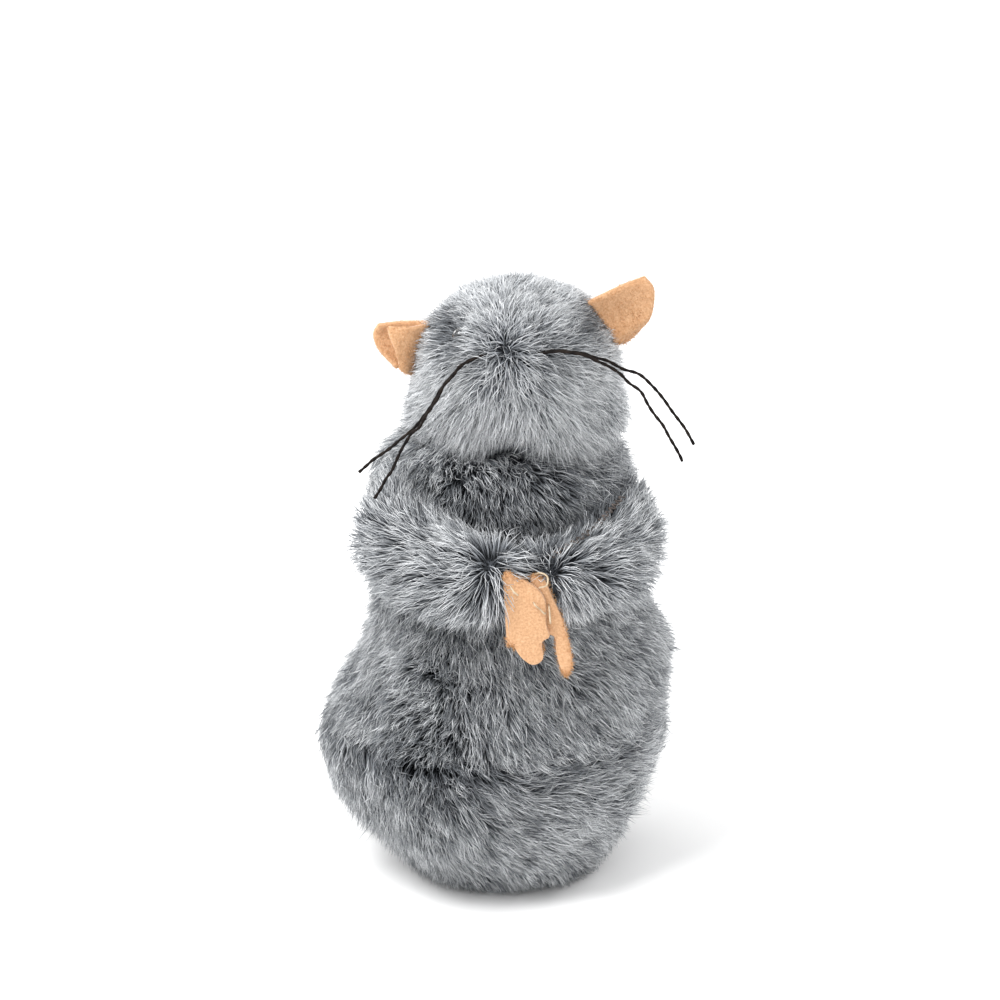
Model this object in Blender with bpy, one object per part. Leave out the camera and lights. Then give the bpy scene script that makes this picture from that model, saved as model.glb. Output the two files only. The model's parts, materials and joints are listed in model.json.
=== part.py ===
"""Clockwork dancing mouse: a plush mouse sewn over a spring motor that stands on a
round base, spins on its pivot foot and is wound by a key in its back.

Lengths in this file are millimetres; `MM` turns them into Blender's metres.
The mouse looks along -Y, +Z is up, and the origin is under the pivot foot.
"Left" and "right" are the mouse's own, so its left side is at +X.
Every shaft of the motor lies along Y, and motor layouts are given as (x, z).
"""

import math

import bmesh
import bpy
from mathutils import Matrix, Vector

MM = 0.001
TAU = 2 * math.pi

# ---- fits ------------------------------------------------------------------
GAP = 0.3                  # between pieces that touch on the real toy
RUNNING_FIT = 0.06         # radial play of a shaft in its plate

# ---- body ------------------------------------------------------------------
FABRIC = 0.8               # woven backing of the plush
SEAM_Z = 31.0              # the sewn equator that joins the two body panels
HEM_Z = 2.6                # where the inside of the lower panel starts
BODY_PROFILE = [           # (radius, height) of the plush backing, floor to neck
    (16.4, 2.2), (19.6, 6.5), (22.9, 12.0), (25.6, 18.5), (27.3, 25.5), (27.5, 31.0),
    (26.2, 37.0), (23.6, 44.5), (20.6, 51.5), (18.2, 59.5), (17.2, 69.0), (17.2, 77.0),
    (15.8, 83.2), (13.0, 87.0), (10.2, 88.8),
]
BODY_SEGMENTS = 28
NECK_FILL_Z = 87.2         # the filling stops under the head
STUFFING_FOOT_Z = 9.0      # the filling stops above the motor's feet

# ---- head ------------------------------------------------------------------
HEAD_CENTRE = Vector((2.2, -1.5, 102.6))
SNOUT_AXIS = Vector((-0.07, -0.92, 0.37)).normalized()
HEAD_PROFILE = [           # (radius, distance along the snout axis), crown to nose
    (0.0, -15.0), (6.4, -13.6), (11.4, -10.2), (14.6, -5.2), (15.6, 0.0), (14.9, 4.5),
    (12.4, 9.0), (9.0, 12.6), (6.0, 15.4), (3.4, 17.6), (0.0, 18.9),
]
HEAD_SEGMENTS = 20
NECK_HOLE_R = 6.0

# ---- arms and paws -----------------------------------------------------------
ARM_SIDES = 10
ARM_RIGHT_PATH = [(-8.0, 1.0, 77.0), (-14.6, -4.5, 75.0), (-17.8, -12.6, 71.6),
                  (-14.4, -21.4, 69.6), (-7.6, -26.4, 69.4), (-1.6, -28.6, 70.2)]
ARM_LEFT_PATH = [(8.0, 1.0, 77.0), (15.0, -4.5, 75.4), (19.0, -12.0, 72.4),
                 (18.0, -20.4, 70.6), (13.6, -25.8, 70.2), (8.6, -28.4, 70.4)]
ARM_RADII = [7.0, 7.2, 6.8, 6.0, 5.1, 4.0]
FELT = 1.1

PAW_STITCH = (6.4, 67.0)
PAW_FRONT_Y = {"paw_right": -36.0, "paw_left": -34.5}
PAW_OUTLINES = {           # (x, z), clockwise from the wrist
    "paw_right": [(-0.4, 73.4), (2.3, 73.5), (5.7, 71.5), (7.4, 68.8), (7.6, 64.1), (8.2, 61.8),
                  (6.8, 60.6), (7.0, 57.4), (5.1, 56.2), (3.0, 57.6), (1.5, 59.9), (0.2, 61.4)],
    "paw_left": [(4.6, 72.7), (7.0, 72.7), (8.8, 68.8), (10.3, 65.3), (11.5, 61.3), (12.4, 55.9),
                 (11.4, 53.4), (10.3, 54.7), (9.4, 58.1), (9.0, 61.2), (6.4, 61.9), (5.0, 66.8)],
}

# ---- eyes ------------------------------------------------------------------
EYE_R = 1.6
EYE_DISTANCE = 17.4        # bead centre from the head's centre
EYE_DIRECTIONS = {"eye_right": (-0.66, -0.53, 0.54), "eye_left": (0.62, -0.53, 0.58)}

# ---- ears: root, direction out of the head, length, width, depth of the cup ---
EAR_STEPS = 6
EARS = {
    "ear_right": ((-13.9, -1.5, 106.2), (-0.97, 0.0, -0.10), 10.2, 10.4, 3.2),
    "ear_left": ((17.1, -1.5, 109.9), (0.90, 0.0, 0.42), 10.8, 12.8, 2.2),
}

# ---- whiskers --------------------------------------------------------------
WHISKER_D = 0.65
WHISKER_ROUTES = {
    "whisker_right_upper": [(-4.0, -17.3, 110.3), (-4.9, -18.0, 110.1), (-8.1, -18.8, 108.6),
                            (-10.8, -19.2, 105.7), (-12.4, -19.3, 102.8), (-14.4, -19.0, 99.3),
                            (-16.3, -18.6, 96.8), (-18.4, -18.0, 94.6), (-21.5, -16.8, 91.5),
                            (-24.7, -15.6, 88.9), (-27.2, -14.6, 85.9)],
    "whisker_right_lower": [(-3.8, -18.5, 110.5), (-4.9, -19.2, 110.4), (-8.1, -20.0, 108.9),
                            (-10.8, -20.4, 105.9), (-12.4, -20.5, 103.0), (-14.4, -20.3, 99.5),
                            (-16.1, -20.0, 96.8), (-17.6, -19.6, 95.0), (-19.6, -18.8, 90.8),
                            (-21.9, -17.6, 86.1), (-24.3, -16.4, 81.5)],
    "whisker_left_upper": [(5.9, -17.4, 110.7), (7.4, -18.0, 111.1), (10.9, -18.6, 111.4),
                           (14.8, -18.8, 110.9), (18.1, -18.6, 109.5), (21.2, -18.0, 108.0),
                           (25.2, -17.0, 105.7), (28.3, -16.0, 102.3), (30.7, -15.0, 98.5),
                           (33.4, -14.0, 94.6), (35.3, -13.4, 91.0)],
    "whisker_left_lower": [(5.9, -18.6, 111.0), (7.4, -19.2, 111.3), (10.9, -19.8, 111.6),
                           (14.8, -20.0, 110.9), (18.1, -19.9, 109.3), (21.2, -19.5, 107.1),
                           (25.2, -18.6, 102.9), (27.2, -17.8, 99.2), (29.5, -17.0, 95.4),
                           (31.5, -16.2, 91.6), (32.9, -15.6, 88.5)],
}

# ---- base ------------------------------------------------------------------
BASE_R = 15.4
BASE_Z = (2.3, 3.5)
FOOT_FLANGE_H = 1.9
FOOT_FLANGE_R = 3.2
FOOT_STEM_R = 1.3
GLIDE_TRIM = 0.8           # a glide's flange is this much smaller than the pivot foot's
REAR_LIFT = 0.3            # the rear glides only stop the toy from tipping
GLIDE_PLACES = {"glide_front_left": (6.7, -11.7, 0.0), "glide_front_right": (-6.7, -11.7, 0.0),
                "glide_rear_left": (10.9, 2.2, REAR_LIFT), "glide_rear_right": (-10.9, 2.2, REAR_LIFT)}
BASE_SCREW_PLACES = [(0.0, -12.3), (10.2, 8.2), (-10.2, 8.2)]
SCREW_R = 0.8
SCREW_HEAD_R = 1.5

# ---- motor -----------------------------------------------------------------
MODULE = 0.6
GREAT_TEETH, SECOND_TEETH, PINION_TEETH, FLY_TEETH = 40, 30, 10, 8
WINDING_AXIS = (0.0, 31.0)
DRIVE_AXIS = (0.0, 8.0)
SECOND_AXIS = (6.995, 17.746)      # one mesh distance from each of its neighbours
FLY_ANGLE = math.radians(179.2)     # direction of the fly from the second arbor
FLY_AXIS = (SECOND_AXIS[0] + MODULE * (SECOND_TEETH + FLY_TEETH) / 2 * math.cos(FLY_ANGLE),
            SECOND_AXIS[1] + MODULE * (SECOND_TEETH + FLY_TEETH) / 2 * math.sin(FLY_ANGLE))
PLATE_T = 1.0
PLATE_FRONT_Y = -9.0
PLATE_BACK_Y = 5.0
PLATE_OUTLINE = [(-10.5, 3.8), (10.5, 3.8), (14.0, 8.5), (17.2, 15.0), (17.6, 24.0),
                 (15.6, 39.0), (10.0, 44.6), (-10.0, 44.6), (-14.8, 39.0), (-14.8, 20.0),
                 (-12.6, 9.0)]
PILLAR_PLACES = [(-12.6, 38.9), (12.8, 38.9), (-9.4, 6.2), (9.4, 6.2)]
PILLAR_R = 1.3
PILLAR_END_R = 0.8
GREAT_Y = (-0.5, 0.5)
SECOND_Y = (1.3, 2.1)
RATCHET_Y = (-1.9, -1.0)
SPRING_Y = (-7.4, -2.5)
FLY_Y = (3.1, 3.8)
FLY_REACH = 5.6
WINDING_R = 1.5
ARBOR_R = 0.75
WHEEL_Y = (7.7, 10.5)
WHEEL_SLOT_X = 7.4
WHEEL_SLOT_PLAY = 0.6
TYRE_R = 8.0
HUB_R = 6.0
RATCHET_TEETH = 12
RATCHET_R = 4.4
RATCHET_PHASE = math.radians(8)
CLICK_PIVOT_R = 7.8
CLICK_RIVET_R = 0.7
CLICK_ANGLE = math.radians(90)
COVER_WALL = 0.8
COVER_Y = (-10.9, 11.9)
COVER_FOOT_Z = 7.2

# ---- key -------------------------------------------------------------------
KEY_STEM_R = 2.0
KEY_STEM_Y = (17.5, 41.2)
KEY_BOW_FRONT_Y = 38.4
KEY_LOBE_R = 6.2
KEY_LOBE_X = 7.4
KEY_LOBE_HOLE_R = 1.8
KEY_BOW_T = 1.5
KEY_SEAT_R = 1.3         # end of the winding arbor that the key slides over
KEY_SEAT_LENGTH = 6.5
KEY_BORE_DEPTH = 8.0
KEY_HOLE_R = 3.3           # opening in the plush, under the eyelet
KEY_HOLE_Y = (11.0, 34.0)


# ---- helpers ---------------------------------------------------------------
def clear_scene():
    for obj in list(bpy.data.objects):
        bpy.data.objects.remove(obj, do_unlink=True)


def material(name, colour, roughness, metallic=0.0):
    mat = bpy.data.materials.new(name)
    mat.use_nodes = True
    shader = mat.node_tree.nodes["Principled BSDF"]
    shader.inputs["Base Color"].default_value = (*colour, 1.0)
    shader.inputs["Roughness"].default_value = roughness
    shader.inputs["Metallic"].default_value = metallic
    return mat


def add_object(name, bm, mat, pivot=(0.0, 0.0, 0.0), smooth=True):
    """Turn a mesh in millimetres into an object in metres whose origin is at `pivot`."""
    bmesh.ops.recalc_face_normals(bm, faces=bm.faces)
    bm.transform(Matrix.Scale(MM, 4) @ Matrix.Translation(-Vector(pivot)))
    mesh = bpy.data.meshes.new(name)
    bm.to_mesh(mesh)
    bm.free()
    mesh.materials.append(mat)
    if smooth:
        mesh.shade_smooth()
        mesh.set_sharp_from_angle(angle=math.radians(35))
    obj = bpy.data.objects.new(name, mesh)
    obj.location = Vector(pivot) * MM
    bpy.context.scene.collection.objects.link(obj)
    return obj


def as_cutter(obj):
    obj.hide_render = True
    obj.display_type = "WIRE"
    return obj


def cut(obj, cutter):
    mod = obj.modifiers.new("cut_" + cutter.name, "BOOLEAN")
    mod.operation = "DIFFERENCE"
    mod.solver = "EXACT"
    mod.object = cutter


def revolve(profile, segments, frame=None, closed=False):
    """Turn (radius, height) points about Z; a closed profile makes a ring or a shell."""
    bm = bmesh.new()
    rings = []
    for radius, height in profile:
        if radius == 0.0:
            rings.append([bm.verts.new((0.0, 0.0, height))])
            continue
        rings.append([bm.verts.new((radius * math.cos(TAU * i / segments),
                                    radius * math.sin(TAU * i / segments), height))
                      for i in range(segments)])
    if closed:
        rings.append(rings[0])
    for low, high in zip(rings, rings[1:]):
        for i in range(segments):
            j = (i + 1) % segments
            corners = [low[i % len(low)], low[j % len(low)], high[j % len(high)], high[i % len(high)]]
            bm.faces.new(list(dict.fromkeys(corners)))
    if not closed:
        for ring in (rings[0], rings[-1]):
            if len(ring) > 1:
                bm.faces.new(ring)
    if frame is not None:
        bm.transform(frame)
    return bm


def along_y(x, z, y=0.0):
    """Frame that lays a turned shape's axis along Y through (x, z), pointing at the back."""
    return Matrix.Translation((x, y, z)) @ Matrix.Rotation(-math.pi / 2, 4, "X")


def turned_y(centre, profile, segments=16, closed=False):
    """Turned piece on a motor axis; profile heights are Y positions."""
    return revolve(profile, segments, along_y(*centre), closed)


def rod(radius, low, high):
    return [(radius, low), (radius, high)]


def circle(centre, radius, count, phase=0.0):
    return [(centre[0] + radius * math.cos(phase + TAU * i / count),
             centre[1] + radius * math.sin(phase + TAU * i / count)) for i in range(count)]


def plate(outline, low, high, holes=(), frame=None):
    """Plate cut from an (x, z) outline with holes in it, its thickness along Y."""
    bm = bmesh.new()
    edges = []
    for loop in (outline, *holes):
        verts = [bm.verts.new((x, low, z)) for x, z in loop]
        edges += [bm.edges.new((verts[i], verts[i - 1])) for i in range(len(verts))]
    bmesh.ops.triangle_fill(bm, use_beauty=True, use_dissolve=False, edges=edges)
    extruded = bmesh.ops.extrude_face_region(bm, geom=bm.faces[:])["geom"]
    moved = [item for item in extruded if isinstance(item, bmesh.types.BMVert)]
    bmesh.ops.translate(bm, verts=moved, vec=(0.0, high - low, 0.0))
    if frame is not None:
        bm.transform(frame)
    return bm


def flat_plate(outline, low, high, holes=()):
    """Plate lying flat: its outline is (x, y) and its thickness runs along Z."""
    return plate(outline, -high, -low, holes, Matrix.Rotation(-math.pi / 2, 4, "X"))


def offset_outline(outline, distance):
    """Push each side of a convex anticlockwise outline outwards."""
    result = []
    count = len(outline)
    for i in range(count):
        before, here, after = (Vector(outline[(i + k) % count]) for k in (-1, 0, 1))
        into = (here - before).normalized()
        out = (after - here).normalized()
        normal_in = Vector((into.y, -into.x))
        normal_out = Vector((out.y, -out.x))
        mitre = (normal_in + normal_out).normalized()
        result.append(tuple(here + mitre * distance / mitre.dot(normal_in)))
    return result


def smooth_route(points, steps):
    """Points on the Catmull-Rom curve through a route, `steps` to each stretch."""
    pts = [Vector(p) for p in points]
    pts = [2 * pts[0] - pts[1], *pts, 2 * pts[-1] - pts[-2]]
    route = []
    for a, b, c, d in zip(pts, pts[1:], pts[2:], pts[3:]):
        for k in range(steps):
            t = k / steps
            route.append(0.5 * (2 * b + (c - a) * t + (2 * a - 5 * b + 4 * c - d) * t ** 2
                                + (3 * b - a - 3 * c + d) * t ** 3))
    route.append(pts[-2])
    return route


def limb(path, radii, shrink, sides=ARM_SIDES):
    """Round-ended tapering tube along a path, its surface moved in by `shrink`."""
    route = smooth_route(path, 2)
    widths = []
    for i in range(len(route)):
        k = min(i // 2, len(radii) - 2)
        t = i / 2 - k
        widths.append(radii[k] * (1 - t) + radii[k + 1] * t - shrink)
    tip, tip_width = route[-1], widths[-1]
    tip_dir = (route[-1] - route[-2]).normalized()
    for angle in (35, 65):
        route.append(tip + tip_dir * tip_width * math.sin(math.radians(angle)))
        widths.append(tip_width * math.cos(math.radians(angle)))
    return tube(route, widths, sides)


def tube(route, widths, sides):
    bm = bmesh.new()
    rings = []
    for i, (centre, width) in enumerate(zip(route, widths)):
        ahead = (route[min(i + 1, len(route) - 1)] - route[max(i - 1, 0)]).normalized()
        side = ahead.cross(Vector((0, 0, 1))).normalized()
        up = side.cross(ahead)
        rings.append([bm.verts.new(centre + width * (side * math.cos(TAU * s / sides)
                                                     + up * math.sin(TAU * s / sides)))
                      for s in range(sides)])
    for low, high in zip(rings, rings[1:]):
        for s in range(sides):
            t = (s + 1) % sides
            bm.faces.new((low[s], low[t], high[t], high[s]))
    bm.faces.new(rings[0])
    bm.faces.new(rings[-1])
    return bm


def gear_outline(centre, teeth, phase):
    """Trapezoid teeth with free play; `phase` is the direction of one tooth's middle."""
    pitch_r = MODULE * teeth / 2
    pitch = TAU / teeth
    root_r = pitch_r - 1.15 * MODULE
    tip_r = pitch_r + 0.8 * MODULE
    root_half = pitch * 0.27 if teeth > 12 else pitch * 0.2
    tip_half = pitch * 0.11
    points = []
    for i in range(teeth):
        middle = phase + i * pitch
        for radius, turn in ((root_r, -root_half), (tip_r, -tip_half),
                             (tip_r, tip_half), (root_r, root_half)):
            points.append((centre[0] + radius * math.cos(middle + turn),
                           centre[1] + radius * math.sin(middle + turn)))
    return points


def mesh_phase(phase, teeth, mate_teeth, direction):
    """Phase that puts a tooth space of the mate opposite the nearest tooth of a wheel."""
    lead = (phase - direction) % (TAU / teeth)
    return direction + math.pi - lead * teeth / mate_teeth + math.pi / mate_teeth


def direction_of(start, end):
    return math.atan2(end[1] - start[1], end[0] - start[0])


# ---- plush body --------------------------------------------------------------
def shift_profile(profile, inwards):
    """Move a turned profile along its own normals towards the axis."""
    moved = []
    for i, (radius, height) in enumerate(profile):
        r0, z0 = profile[max(i - 1, 0)]
        r1, z1 = profile[min(i + 1, len(profile) - 1)]
        length = math.hypot(r1 - r0, z1 - z0)
        normal_r, normal_z = (z1 - z0) / length, -(r1 - r0) / length
        moved.append((radius - normal_r * inwards, height - normal_z * inwards))
    return moved


def clip_profile(profile, low, high):
    """The stretch of a rising profile between two heights, with its ends worked out."""
    def at(height):
        for (r0, z0), (r1, z1) in zip(profile, profile[1:]):
            if z0 <= height <= z1:
                return r0 + (r1 - r0) * (height - z0) / (z1 - z0), height
        return profile[-1] if height > profile[-1][1] else profile[0]
    inner = [point for point in profile if low < point[1] < high]
    return [at(low), *inner, at(high)]


def body_panel(name, low, high, mat):
    outside = clip_profile(BODY_PROFILE, low, high)
    inside = clip_profile(shift_profile(BODY_PROFILE, FABRIC), max(low, HEM_Z), high)
    return add_object(name, revolve(outside + inside[::-1], BODY_SEGMENTS, closed=True), mat)


def make_body(mats):
    key_hole = as_cutter(add_object(
        "key_hole", turned_y(WINDING_AXIS, rod(KEY_HOLE_R, *KEY_HOLE_Y), 20), mats["steel"]))
    upper = body_panel("body_plush_upper", SEAM_Z + GAP / 2, BODY_PROFILE[-1][1], mats["plush"])
    lower = body_panel("body_plush_lower", BODY_PROFILE[0][1], SEAM_Z - GAP / 2, mats["plush"])
    inner = shift_profile(BODY_PROFILE, FABRIC + GAP)
    filling = clip_profile(inner, STUFFING_FOOT_Z, NECK_FILL_Z)
    stuffing = add_object("body_stuffing", revolve(filling, BODY_SEGMENTS), mats["stuffing"])
    pocket_outline = offset_outline(PLATE_OUTLINE, 2 * GAP + COVER_WALL + GAP)
    pocket = as_cutter(add_object(
        "motor_pocket", plate(pocket_outline, COVER_Y[0] - GAP, COVER_Y[1] + GAP), mats["steel"]))
    for piece in (upper, lower, stuffing):
        cut(piece, key_hole)
    cut(stuffing, pocket)
    flange = [(2.4, 25.6), (2.4, 28.7), (4.4, 28.7), (4.4, 28.0), (2.9, 27.9), (2.9, 25.6)]
    add_object("key_eyelet", turned_y(WINDING_AXIS, flange, 16, closed=True), mats["brass"])


# ---- head --------------------------------------------------------------------
def head_frame():
    turn = SNOUT_AXIS.to_track_quat("Z", "Y").to_matrix().to_4x4()
    return Matrix.Translation(HEAD_CENTRE) @ turn


def head_solid(inwards):
    profile = [(max(r, 0.0), h) for r, h in shift_profile(HEAD_PROFILE, inwards)]
    profile[0] = (0.0, HEAD_PROFILE[0][1] + inwards)
    profile[-1] = (0.0, HEAD_PROFILE[-1][1] - inwards)
    return revolve(profile, HEAD_SEGMENTS, head_frame())


def make_head(mats):
    plush = add_object("head_plush", head_solid(0.0), mats["plush"])
    hollow = as_cutter(add_object("head_hollow", head_solid(FABRIC), mats["plush"]))
    neck = as_cutter(add_object("neck_hole", revolve(rod(NECK_HOLE_R, 82.0, 95.0), 20,
                                                     Matrix.Translation((2.2, -1.5, 0))), mats["plush"]))
    cut(plush, hollow)
    cut(plush, neck)
    add_object("head_stuffing", head_solid(FABRIC + GAP), mats["stuffing"])


def make_eyes(mats):
    bead = [(EYE_R * math.sin(math.radians(a)), -EYE_R * math.cos(math.radians(a)))
            for a in (0, 30, 60, 90, 120, 150, 180)]
    bead[0], bead[-1] = (0.0, -EYE_R), (0.0, EYE_R)
    for name, direction in EYE_DIRECTIONS.items():
        centre = HEAD_CENTRE + Vector(direction).normalized() * EYE_DISTANCE
        add_object(name, revolve(bead, 12, Matrix.Translation(centre)), mats["bead"])


# ---- arms, paws, ears, whiskers ----------------------------------------------
def make_arms(mats):
    torso = as_cutter(add_object(
        "torso_clearance", revolve(shift_profile(BODY_PROFILE, -GAP), BODY_SEGMENTS), mats["plush"]))
    for side, path in (("left", ARM_LEFT_PATH), ("right", ARM_RIGHT_PATH)):
        plush = add_object("arm_plush_" + side, limb(path, ARM_RADII, 0.0), mats["plush"])
        hollow = as_cutter(add_object("arm_hollow_" + side, limb(path, ARM_RADII, FABRIC), mats["plush"]))
        filling = add_object("arm_stuffing_" + side, limb(path, ARM_RADII, FABRIC + GAP),
                             mats["stuffing"])
        cut(plush, hollow)
        cut(plush, torso)
        cut(filling, torso)


def make_paws(mats):
    stitch_hole = circle(PAW_STITCH, 0.7, 10)
    for name, outline in PAW_OUTLINES.items():
        front = PAW_FRONT_Y[name]
        add_object(name, plate(outline, front, front + FELT, [stitch_hole]), mats["felt"], smooth=False)
    low, high = PAW_FRONT_Y["paw_right"], PAW_FRONT_Y["paw_left"] + FELT
    knot = 0.8
    thread = [(knot, low - 1.0), (knot, low - GAP), (0.35, low - GAP), (0.35, high + GAP),
              (knot, high + GAP), (knot, high + 2 * GAP)]
    add_object("paw_stitch", turned_y(PAW_STITCH, thread, 10), mats["thread"])


def make_ears(mats):
    for name, (root, out, length, width, cup) in EARS.items():
        out = Vector(out).normalized()
        normal = Vector((0.0, -1.0, 0.0))
        across = normal.cross(out).normalized()
        bm = bmesh.new()
        rows = []
        for i in range(EAR_STEPS + 1):
            v = i / EAR_STEPS
            half = 0.5 * width * math.sqrt(max(1 - (2 * v * 0.92 - 0.84) ** 2, 0.03))
            row = []
            for k in range(EAR_STEPS + 1):
                u = 2 * k / EAR_STEPS - 1
                row.append(bm.verts.new(Vector(root) + out * length * v + across * half * u
                                        + normal * cup * u * u * v))
            rows.append(row)
        for low, high in zip(rows, rows[1:]):
            for k in range(EAR_STEPS):
                bm.faces.new((low[k], low[k + 1], high[k + 1], high[k]))
        ear = add_object(name, bm, mats["felt"])
        thick = ear.modifiers.new("felt", "SOLIDIFY")
        thick.thickness = FELT * MM
        thick.offset = 0.0


def make_whiskers(mats):
    for name, route in WHISKER_ROUTES.items():
        curve = bpy.data.curves.new(name, "CURVE")
        curve.dimensions = "3D"
        curve.bevel_depth = WHISKER_D / 2 * MM
        curve.bevel_resolution = 2
        curve.use_fill_caps = True
        points = smooth_route(route, 2)
        spline = curve.splines.new("POLY")
        spline.points.add(len(points) - 1)
        for spot, place in zip(spline.points, points):
            spot.co = (*(place * MM), 1.0)
        curve.materials.append(mats["whisker"])
        bpy.context.scene.collection.objects.link(bpy.data.objects.new(name, curve))


# ---- base --------------------------------------------------------------------
def make_base(mats):
    slot_low, slot_high = WHEEL_Y[0] - WHEEL_SLOT_PLAY, WHEEL_Y[1] + WHEEL_SLOT_PLAY
    slot = [(-WHEEL_SLOT_X, slot_low), (WHEEL_SLOT_X, slot_low),
            (WHEEL_SLOT_X, slot_high), (-WHEEL_SLOT_X, slot_high)]
    holes = [slot, circle((0, 0), FOOT_STEM_R + GAP, 16)]
    holes += [circle(place[:2], FOOT_STEM_R + GAP, 12) for place in GLIDE_PLACES.values()]
    holes += [circle(place, SCREW_R + GAP, 12) for place in BASE_SCREW_PLACES]
    add_object("base_disc", flat_plate(circle((0, 0), BASE_R, 36), *BASE_Z, holes), mats["base"])

    low, high = BASE_Z
    foot = [(FOOT_FLANGE_R - 0.4, 0.0), (FOOT_FLANGE_R, 0.4), (FOOT_FLANGE_R, FOOT_FLANGE_H),
            (FOOT_STEM_R, FOOT_FLANGE_H), (FOOT_STEM_R, high + GAP), (FOOT_STEM_R + 0.9, high + GAP),
            (FOOT_STEM_R + 0.9, high + GAP + 0.4)]
    add_object("pivot_foot", revolve(foot, 18), mats["glide"])
    for name, (x, y, lift) in GLIDE_PLACES.items():
        glide = [(r - GLIDE_TRIM if r > FOOT_STEM_R + 1 else r, max(z, lift)) for r, z in foot]
        glide[1] = (glide[1][0], lift + 0.4)
        add_object(name, revolve(glide, 12, Matrix.Translation((x, y, 0))), mats["glide"])
    screw = [(SCREW_HEAD_R - 0.3, low - 1.3), (SCREW_HEAD_R, low - 1.0), (SCREW_HEAD_R, low - GAP),
             (SCREW_R, low - GAP), (SCREW_R, high + 2.0)]
    for number, (x, y) in enumerate(BASE_SCREW_PLACES, 1):
        add_object(f"base_screw_{number}", revolve(screw, 10, Matrix.Translation((x, y, 0))), mats["steel"])


# ---- motor -------------------------------------------------------------------
def foot_tab(centre, width, reach_low, reach_high):
    """Bent foot of a motor plate, lying over the base disc with a screw hole."""
    x, y = centre
    low = BASE_Z[1] + GAP
    outline = [(x - width, reach_low), (x + width, reach_low),
               (x + width, reach_high), (x - width, reach_high)]
    return flat_plate(outline, low, low + PLATE_T, [circle((x, y), SCREW_R + GAP, 12)])


def make_plate(name, low, shafts, tabs, mats):
    holes = [circle(centre, radius + RUNNING_FIT, 16) for centre, radius in shafts]
    holes += [circle(place, PILLAR_END_R + GAP, 8) for place in PILLAR_PLACES]
    bm = plate(PLATE_OUTLINE, low, low + PLATE_T, holes)
    body = add_object(name, bm, mats["steel"], smooth=False)
    for number, tab in enumerate(tabs, 1):
        piece = as_cutter(add_object(
            f"{name}_tab_{number}", foot_tab(*tab), mats["steel"], smooth=False))
        join = body.modifiers.new("tab", "BOOLEAN")
        join.operation = "UNION"
        join.solver = "EXACT"
        join.object = piece


def make_frame(mats):
    shafts = [(WINDING_AXIS, WINDING_R), (SECOND_AXIS, ARBOR_R), (DRIVE_AXIS, ARBOR_R),
              (FLY_AXIS, ARBOR_R)]
    front_tab = [(BASE_SCREW_PLACES[0], 3.6, -14.2, PLATE_FRONT_Y + 0.5)]
    back_tabs = [(place, 2.0, PLATE_BACK_Y + 0.5, 10.6) for place in BASE_SCREW_PLACES[1:]]
    make_plate("plate_front", PLATE_FRONT_Y, shafts, front_tab, mats)
    make_plate("plate_back", PLATE_BACK_Y, shafts, back_tabs, mats)
    inner_low, inner_high = PLATE_FRONT_Y + PLATE_T + GAP, PLATE_BACK_Y - GAP
    outer_low, outer_high = PLATE_FRONT_Y - 0.5, PLATE_BACK_Y + PLATE_T + 0.5
    for number, centre in enumerate(PILLAR_PLACES, 1):
        turned = [(PILLAR_END_R, outer_low), (PILLAR_END_R, inner_low), (PILLAR_R, inner_low),
                  (PILLAR_R, inner_high), (PILLAR_END_R, inner_high), (PILLAR_END_R, outer_high)]
        add_object(f"pillar_{number}", turned_y(centre, turned, 10), mats["steel"])
    outside = offset_outline(PLATE_OUTLINE, 2 * GAP + COVER_WALL)
    inside = offset_outline(PLATE_OUTLINE, 2 * GAP)
    cover = add_object("motor_cover", plate(outside, *COVER_Y), mats["cover"], smooth=False)
    hollow = as_cutter(add_object(
        "cover_hollow", plate(inside, COVER_Y[0] + COVER_WALL, COVER_Y[1] - COVER_WALL), mats["cover"]))
    foot_cut = as_cutter(add_object("cover_foot", plate(
        [(-30, -5), (30, -5), (30, COVER_FOOT_Z), (-30, COVER_FOOT_Z)], -20, 20), mats["cover"]))
    arbor_hole = as_cutter(add_object(
        "cover_arbor_hole", turned_y(WINDING_AXIS, rod(WINDING_R + 0.5, 8.0, 15.0), 20), mats["cover"]))
    for cutter in (hollow, foot_cut, arbor_hole):
        cut(cover, cutter)


def make_spring(mats):
    """Mainspring strip: a flat spiral from the winding arbor out to a pillar."""
    turns, steps = 6, 14
    start_r, end_r, strip = 2.4, 11.2, 0.4
    count = turns * steps
    inner, outer = [], []
    for i in range(count + 1):
        share = i / count
        angle = TAU * turns * share + math.radians(130)
        radius = start_r + (end_r - start_r) * share
        for line, r in ((inner, radius - strip / 2), (outer, radius + strip / 2)):
            line.append((WINDING_AXIS[0] + r * math.cos(angle), WINDING_AXIS[1] + r * math.sin(angle)))
    add_object("mainspring", plate(outer + inner[::-1], *SPRING_Y), mats["spring"], smooth=False)


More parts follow.
